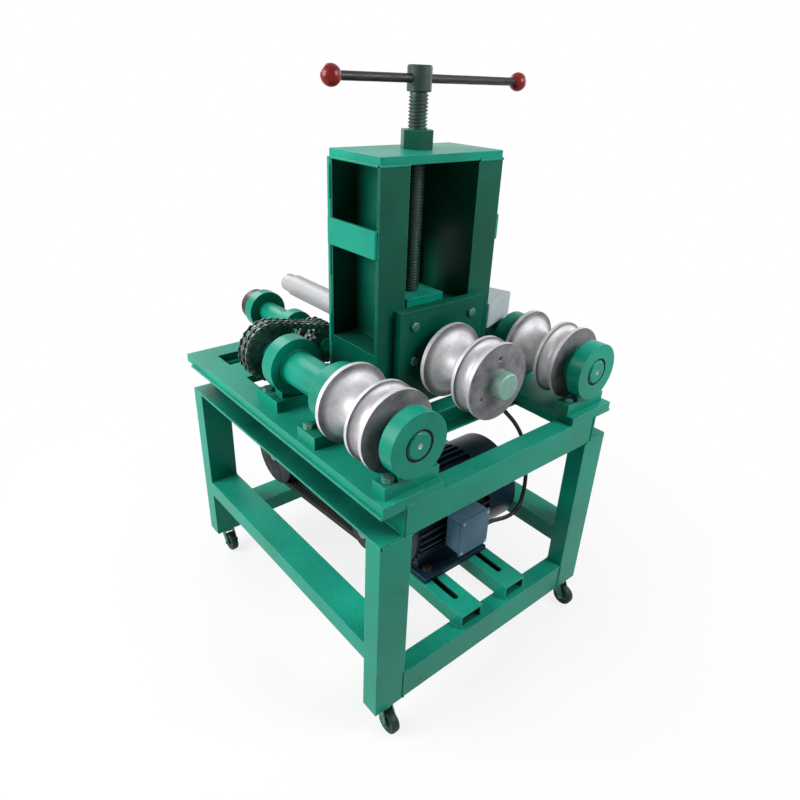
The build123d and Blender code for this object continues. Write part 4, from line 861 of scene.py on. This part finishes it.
welds = bmesh.new()
for side in (-1, 1):
    outer, inner, web = side * LEG_OUTER, side * LEG_INNER, side * CHANNEL_WEB
    for near, far, face in ((0, LEG_DEPTH, 0), (REAR_LEG, STAND_BACK, STAND_BACK)):
        weld(welds, (outer, near, LEG_TOP), (outer, far, LEG_TOP))
        weld(welds, (inner, face, LEG_TOP), (outer, face, LEG_TOP))
        weld(welds, (web, face, CHANNEL_LOW), (web, face, CHANNEL_HIGH))
    for depth in (LEG_DEPTH, REAR_LEG):
        weld(welds, (outer, depth, SIDE_RAIL_LOW), (outer, depth, SIDE_RAIL_HIGH))
        weld(welds, (inner, depth, SIDE_RAIL_HIGH), (outer, depth, SIDE_RAIL_HIGH))
    weld(welds, (inner, 0, FRONT_RAIL_LOW), (inner, 0, FRONT_RAIL_HIGH))
    weld(welds, (inner, 0, FRONT_RAIL_HIGH), (inner, LEG_DEPTH, FRONT_RAIL_HIGH))
    flange = side * FLANGE_OUTER
    weld(welds, (side * FLANGE_INNER, FLANGE_FRONT, TABLE), (flange, FLANGE_FRONT, TABLE))
    weld(welds, (flange, FLANGE_FRONT, TABLE), (flange, FLANGE_BACK, TABLE))
    weld(welds, (side * TOP_INNER, FLANGE_FRONT, COLUMN_TOP), (flange, FLANGE_FRONT, COLUMN_TOP))
    for depth in TIE_ENDS:
        weld(welds, (flange, depth, TIE_LOW), (flange, depth, TIE_HIGH))
    for depth in HOUSING_ENDS:
        weld_ring(welds, side * ROLLER_SPAN, depth, LOWER_AXIS, HOUSING_NECK)
    for start in SEAM_STARTS:
        weld(welds, (flange, SEAM_DEPTH, start), (flange, SEAM_DEPTH, start + SEAM))
    weld(welds, (flange, TOP_FRONT, COLUMN_TOP), (flange, TOP_BACK, COLUMN_TOP))
for edge in RAIL_EDGES:
    weld(welds, (edge, RAIL_START, FRONT_RAIL_HIGH), (edge, LEG_DEPTH, FRONT_RAIL_HIGH))
add_piece("weld_beads", welds, green_enamel, "frame", "green_paint", sharp=60)

# %% [markdown]
# ## Bolts
# The solid bolts are plain hexagons. A real head has its corners chamfered and sits on a washer. One bolt of
# each length is made along its own Z with its seat at the origin, and is then stamped at each place with a
# turn of its own, because no fitter lines up the flats. A row of bolts is given by its places, the height of
# its seat and the length below it. The bolts of the motor's feet are black, which is painted shade for the
# dark they sit in under the motor.

# %% Bolts
HEAD_FLATS, HEAD_RISE, CHAMFER_SHARE = 10, 8, 0.13
BOLT_RADIUS, WASHER_RADIUS, WASHER_HEIGHT = 6, 12, 1.6
BOLT_TURN = radians(37)
FORWARDS = Matrix.Rotation(pi / 2, 4, "X")
foot_places = ((202, 31.5), (282, 31.5), (192, 254), (292, 254), (206, 432), (278, 432))
rail_middles = (-52.5, 87.5)
bolt_rows = (
    ([(side * x, depth) for side in (-1, 1) for x, depth in foot_places], 593, 43),
    ([(x, depth) for x in (-143.5, -75.5) for depth in (645, 700)], 582, 32),
    ([(x, depth) for x in rail_middles for depth in (576, 704)], 187, 29),
)
shaded_motor_rows = (([(x, depth) for x in rail_middles for depth in (155, 345)], 183, 25),)


def bar(shape, radius, low, high, sides=24, end_radius=None):
    """A round or six-sided bar along Z, in millimetres, that may taper."""
    bmesh.ops.create_cone(
        shape, cap_ends=True, segments=sides, radius1=radius, radius2=end_radius or radius, depth=high - low,
        matrix=Matrix.Translation((0, 0, (low + high) / 2)),
    )


def hexagon(shape, flats, low, high):
    """A six-sided bar with its upper corners chamfered."""
    bar(shape, flats / cos(pi / 6), low, high, 6)
    upper = [edge for edge in shape.edges if all(abs(vert.co.z - high) < 0.01 for vert in edge.verts)]
    bmesh.ops.bevel(
        shape, geom=upper, offset=flats * CHAMFER_SHARE, segments=2, affect="EDGES", profile=0.5,
        material=-1,
    )


def bolt_mesh(flats, rise, shank, length):
    shape = bmesh.new()
    hexagon(shape, flats, 0, rise)
    bar(shape, shank, -length, 0)
    return shape


def at(sideways, depth, height, turned=Matrix.Identity(4)):
    """Where a small mesh in millimetres is stamped."""
    return Matrix.Translation(place(sideways, depth, height)) @ Matrix.Scale(MM, 4) @ turned


def bolt_set(rows):
    """All bolts of some rows, each with its washer."""
    bolts = bmesh.new()
    for places, seat, length in rows:
        row_shape = bolt_mesh(HEAD_FLATS, HEAD_RISE, BOLT_RADIUS, length)
        bar(row_shape, WASHER_RADIUS, 0, WASHER_HEIGHT)
        row_mesh = keep_mesh(row_shape, "bolt")
        for index, (sideways, depth) in enumerate(places):
            stamp(bolts, row_mesh, at(sideways, depth, seat, Matrix.Rotation(index * BOLT_TURN, 4, "Z")))
    return bolts


add_piece("frame_bolt_set", bolt_set(bolt_rows), zinc_steel, "frame", "zinc_steel", "frame_bolts", sharp=30)
# Black bolts: painted shade where the motor's feet sit in the dark.
add_piece("shaded_motor_bolt_set", bolt_set(shaded_motor_rows), black_steel, "frame", "black_steel", sharp=30)

# %% Cover and slide bolts
COVER_BOLTS, COVER_CIRCLE, COVER_FRONT, COVER_BACK = 6, 76, 582, 698
SHIELD_BOLTS, SHIELD_CIRCLE, SHIELD_FACE = 4, 92, -98
cover_bolts = bmesh.new()
cover_bolt = keep_mesh(bolt_mesh(5, 4, 3, 4), "cover_bolt")
for index in range(COVER_BOLTS):
    turn = index * tau / COVER_BOLTS + pi / 6
    sideways = OUTPUT_AXIS[0] + COVER_CIRCLE * cos(turn)
    height = OUTPUT_AXIS[1] + COVER_CIRCLE * sin(turn)
    stamp(cover_bolts, cover_bolt, at(sideways, COVER_FRONT, height, FORWARDS))
    stamp(cover_bolts, cover_bolt, at(sideways, COVER_BACK, height, FORWARDS.inverted()))
for index in range(SHIELD_BOLTS):
    turn = index * tau / SHIELD_BOLTS + pi / 4
    depth = MOTOR_AXIS[0] + SHIELD_CIRCLE * cos(turn)
    height = MOTOR_AXIS[1] + SHIELD_CIRCLE * sin(turn)
    stamp(cover_bolts, cover_bolt, at(SHIELD_FACE, depth, height, Matrix.Rotation(-pi / 2, 4, "Y")))
add_piece("cover_bolt_set", cover_bolts, zinc_steel, "frame", "zinc_steel", sharp=30)

SLIDE_FACE, SLIDE_BOLT_SPAN, SLIDE_BOLT_HEIGHTS = 214.7, 76, (615.7, 687.5, 759.3)
plate_bolts = bmesh.new()
plate_bolt = keep_mesh(bolt_mesh(8.5, 6.4, 5, 20), "plate_bolt")
for index, height in enumerate(SLIDE_BOLT_HEIGHTS):
    for sideways in (-SLIDE_BOLT_SPAN, SLIDE_BOLT_SPAN):
        turn = Matrix.Rotation((index + sideways) * BOLT_TURN, 4, "Z")
        stamp(plate_bolts, plate_bolt, at(sideways, SLIDE_FACE, height, FORWARDS @ turn))
add_piece("slide_bolt_set", plate_bolts, zinc_steel, "slide", "zinc_steel", "slide_bolts", sharp=30)

# %% [markdown]
# ## Shaft ends
# Each lower shaft ends in its pedestal: a near-black ring in the counterbore, which is painted shade that
# fills the dark gap between shaft and bore, the chamfered end face with paint on it, and the small bright
# cone in which the lathe's centre held the shaft. All three are spun from a closed outline of radius and
# depth. The dark ring stays with the stand, and the rest turns with the roller.
# A black set collar keeps the jackshaft in its housing and is spun in the same way.

# %% Shaft ends
GAP_SHADE_OUTLINE = ((25.7, 4.6), (29.8, 4.6), (29.8, 6.9), (25.7, 6.9))
END_OUTLINE = ((5, 1.2), (22.2, 1.2), (24.9, 4.05), (5, 4.05))
CENTRE_OUTLINE = ((0, 5), (4.9, 1.25), (4.9, 7), (0, 7))
COLLAR_OUTLINE = ((15.2, 757.5), (37, 757.5), (39, 759.5), (39, 793), (37, 795), (15.2, 795))


def spun(outline, sideways, height):
    """A round body about an axis that runs front to back."""
    shape = bmesh.new()
    corners = [place(sideways + radius, depth, height) for radius, depth in (*outline, outline[0])]
    spin_outline(shape, corners, place(sideways, 0, height), BACK)
    return shape


for name, side in (("left", -1), ("right", 1)):
    body = name + "_roller_set"
    axis = (side * ROLLER_SPAN, LOWER_AXIS)
    # Painted shade: a near-black ring that fills the gap between shaft and bore.
    add_piece(name + "_gap_shade_ring", spun(GAP_SHADE_OUTLINE, *axis), gap_shade_rubber, "frame", "black_rubber")
    add_piece(name + "_shaft_end", spun(END_OUTLINE, *axis), green_enamel, body, "green_paint")
    add_piece(name + "_shaft_centre", spun(CENTRE_OUTLINE, *axis), shaft_steel, body, "turned_steel")
add_piece("jack_set_collar", spun(COLLAR_OUTLINE, *JACK_AXIS), black_steel, "jackshaft", "black_steel")

# %% [markdown]
# ## Glands and lid screws
# The cable enters both boxes through a gland: a hexagon against the wall, a ribbed cap nut, and a mouth
# that grips the sheath. The lids are held by pan-head screws with a slot.

# %% Glands and lid screws
TERMINAL_WALL, SWITCH_BOX_FLOOR, LID_FACE = 63, 698, 89
gland = bmesh.new()
hexagon(gland, 9, 0, 6)
bar(gland, 7.6, 6, 8)
bar(gland, 9.4, 8, 16, 12)
bar(gland, 9, 16, 20, 24, 6.2)
gland_mesh = keep_mesh(gland, "gland")
glands = bmesh.new()
stamp(glands, gland_mesh, at(TERMINAL_WALL, *TERMINAL_EXIT[1:], Matrix.Rotation(pi / 2, 4, "Y")))
stamp(glands, gland_mesh, at(*GLAND[:2], SWITCH_BOX_FLOOR, Matrix.Rotation(pi, 4, "X")))
add_piece("cable_gland_pair", glands, black_plastic, "frame", "black_plastic", "cable_glands", sharp=30)

SCREW_HEAD, LID_COLUMNS, LID_ROWS = 3.6, (-16, 58), (254, 334)
screw_head = bmesh.new()
bar(screw_head, SCREW_HEAD, 0, 1.2)
for side in (-1, 1):
    half = bmesh.ops.create_cube(screw_head, size=1)["verts"]
    bmesh.ops.scale(screw_head, verts=half, vec=(2 * SCREW_HEAD * 0.7, SCREW_HEAD * 0.55, 1.6))
    bmesh.ops.translate(screw_head, verts=half, vec=(0, side * SCREW_HEAD * 0.42, 1.0))
screw_mesh = keep_mesh(screw_head, "lid_screw")
lid_screws = bmesh.new()
for index, sideways in enumerate(LID_COLUMNS):
    for height in LID_ROWS:
        turn = Matrix.Rotation((index + height) * BOLT_TURN, 4, "Z")
        stamp(lid_screws, screw_mesh, at(sideways, LID_FACE, height, FORWARDS @ turn))
add_piece("terminal_lid_screws", lid_screws, shaft_steel, "frame", "turned_steel", sharp=30)

# %% [markdown]
# ## Motor rails and terminal box
# The motor slides on two tube rails to tighten the belts, so their slots are long and round-ended, and one
# looks through them into the dark tube. The tube and its slots are cut with the same Boolean as the screw
# head. The terminal box is a cast box with soft edges and a flat lid: cubes with every edge bevelled.

# %% Motor rails and terminal box
RAIL_FRONT, RAIL_BACK, RAIL_BOTTOM, RAIL_TOP = 10, 697, 136, 171
RAIL_HALF, RAIL_WALL, SLOT_HALF = 32.5, 5, 8
rail_slots = ((55, 201), (291, 396), (551, 601), (679, 693))


def block(shape, low, high, radius=0.0, upright_only=False):
    """A box between two places in millimetres, with its edges rounded."""
    first, last = place(*low), place(*high)
    box = bmesh.ops.create_cube(shape, size=1)["verts"]
    bmesh.ops.scale(shape, verts=box, vec=last - first)
    bmesh.ops.translate(shape, verts=box, vec=(first + last) / 2)
    edges = {edge for vert in box for edge in vert.link_edges}
    if upright_only:
        edges = {edge for edge in edges if abs(edge.verts[0].co.z - edge.verts[1].co.z) > 1e-6}
    if radius:
        bmesh.ops.bevel(
            shape, geom=list(edges), offset=radius * MM, segments=5, affect="EDGES", profile=0.5,
            material=-1,
        )


rails, hollows, slots = bmesh.new(), bmesh.new(), bmesh.new()
for middle in rail_middles:
    inside = RAIL_HALF - RAIL_WALL
    block(rails, (middle - RAIL_HALF, RAIL_FRONT, RAIL_BOTTOM), (middle + RAIL_HALF, RAIL_BACK, RAIL_TOP))
    block(
        hollows, (middle - inside, RAIL_FRONT - 5, RAIL_BOTTOM + RAIL_WALL),
        (middle + inside, RAIL_BACK + 5, RAIL_TOP - RAIL_WALL),
    )
    for start, end in rail_slots:
        low, high = (middle - SLOT_HALF, start, RAIL_TOP - 10), (middle + SLOT_HALF, end, RAIL_TOP + 10)
        block(slots, low, high, min(SLOT_HALF, (end - start) / 2) * 0.95, upright_only=True)
rail_piece = add_piece("slotted_motor_rails", rails, green_enamel, "frame", "green_paint", "motor_rails")
cut_hole(rail_piece, hollows)
cut_hole(rail_piece, slots)
print("slotted rails", len(rail_piece.data.polygons), "faces")

CASTING_ROUND, LID_ROUND = 5, 1.8
terminal = bmesh.new()
block(terminal, (-21, 93, 249), (TERMINAL_WALL, 138, 339), CASTING_ROUND)
block(terminal, (-23, LID_FACE, 247), (65, 93.6, 341), LID_ROUND)
add_piece("terminal_casting", terminal, terminal_enamel, "frame", "motor_paint", "terminal_box", sharp=40)

# %% [markdown]
# ## Caster wheels
# Each wheel is a hub and a web inside a rounded rubber tread. Its outline is spun about the axle, which
# runs sideways.

# %% Caster wheels
WHEEL_STEPS = 40
wheel_half = (
    (4.2, 10), (9, 10), (9, 8), (10.5, 6.5), (15.5, 6.5), (17.5, 8.6), (21.5, 9.4), (24.2, 7.6), (25, 5),
)
wheel_outline = [(radius, -across) for radius, across in wheel_half]
wheel_outline += [(radius, across) for radius, across in reversed(wheel_half)]
wheel_outline += wheel_outline[:1]
for corner in ("front_left", "front_right", "rear_left", "rear_right"):
    low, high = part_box("caster_wheel_" + corner)
    hub = (low + high) / 2
    wheel = bmesh.new()
    rim = [hub + Vector((across * MM, 0, radius * MM)) for radius, across in wheel_outline]
    spin_outline(wheel, rim, hub, SIDEWAYS, WHEEL_STEPS)
    add_piece(
        "tread_" + corner, wheel, wheel_rubber, "wheel_" + corner, "wheel_rubber", "caster_wheel_" + corner,
        sharp=30,
    )

# %% [markdown]
# ## Floor and light
# A white studio sweep: white paper on the floor and a white world. The main soft lamp stands at the
# operator's left and a little behind the machine, so that the left faces are bright, the recesses fall dark
# and the turned steel keeps its bands. Weaker ones stand high in front, behind, and at the right. To the
# camera and to shiny metal the paper glows white, fully so further out, so that no horizon shows. The rest
# of it is plain matt paper, which keeps the machine's soft shadow.

# %% Floor
FLOOR_REACH = 14
PAPER_WHITE = (0.72, 0.72, 0.72, 1)
PAPER_GLOW, GLOW_NEAR, GLOW_FAR = 0.8, 0.4, 1.3
floor_shape = bmesh.new()
bmesh.ops.create_grid(floor_shape, x_segments=1, y_segments=1, size=FLOOR_REACH)
floor_mesh = keep_mesh(floor_shape, "floor")
floor = link_object("floor", floor_mesh)


def seen_white(wire):
    """1 for what the camera, a shiny surface or clear glass sees, and 0 for light on matt surfaces."""
    rays = ("Is Camera Ray", "Is Glossy Ray", "Is Transmission Ray")
    camera_ray, glossy_ray, clear_ray = (wire.add("LightPath", {}, {}, out=ray) for ray in rays)
    return wire.math("MINIMUM", camera_ray + glossy_ray + clear_ray, 1.0)


paper, wire, where = new_finish("floor_paper")
set_shader(paper, {"Base Color": PAPER_WHITE, "Roughness": 0.9})
distance = wire.add("VectorMath", {"operation": "LENGTH"}, {0: where}, out="Value")
glow = seen_white(wire) * wire.ramp(distance, GLOW_NEAR, GLOW_FAR, PAPER_GLOW, 1.0)
white = wire.add("Emission", {}, {"Color": (1, 1, 1, 1), "Strength": 1.0})
matt = Wire(wire.tree, wire.tree.nodes["Principled BSDF"].outputs[0])
surface = wire.add("MixShader", {}, {0: glow, 1: matt, 2: white})
wire.tree.links.new(surface.socket, wire.tree.nodes["Material Output"].inputs["Surface"])
floor_mesh.materials.append(paper)
print("paper floor", 2 * FLOOR_REACH, "m wide")

# %% World
SKY_LIGHT = 0.03
world = bpy.data.worlds.new("studio")
bpy.context.scene.world = world
world.use_nodes = True
sky = Wire(world.node_tree)
background = world.node_tree.nodes["Background"]
background.inputs["Color"].default_value = (1, 1, 1, 1)
strength = seen_white(sky) * (1 - SKY_LIGHT) + SKY_LIGHT
world.node_tree.links.new(strength.socket, background.inputs["Strength"])
print("world light on matt surfaces", SKY_LIGHT)


# %% Lamps
def soft_lamp(name, where, aim, size, watts):
    """A square soft box that looks at a point."""
    lamp = bpy.data.lights.new(name, "AREA")
    lamp.size = size
    lamp.energy = watts
    box = link_object(name, lamp)
    box.location = where
    box.rotation_euler = (Vector(aim) - Vector(where)).to_track_quat("-Z", "Y").to_euler()


soft_lamp("key_lamp", (-2.5, 0.9, 1.8), (0, 0, 0.6), 2.0, 135)
soft_lamp("fill_lamp", (0.7, -1.5, 1.7), (0, 0, 0.4), 1.0, 32)
soft_lamp("rear_lamp", (-0.2, 2.6, 2.2), (0, 0, 0.6), 1.4, 45)
soft_lamp("side_lamp", (2.6, -0.2, 1.4), (0, 0, 0.6), 1.4, 22)
bpy.context.scene.view_settings.view_transform = "Standard"
print("four soft lamps")
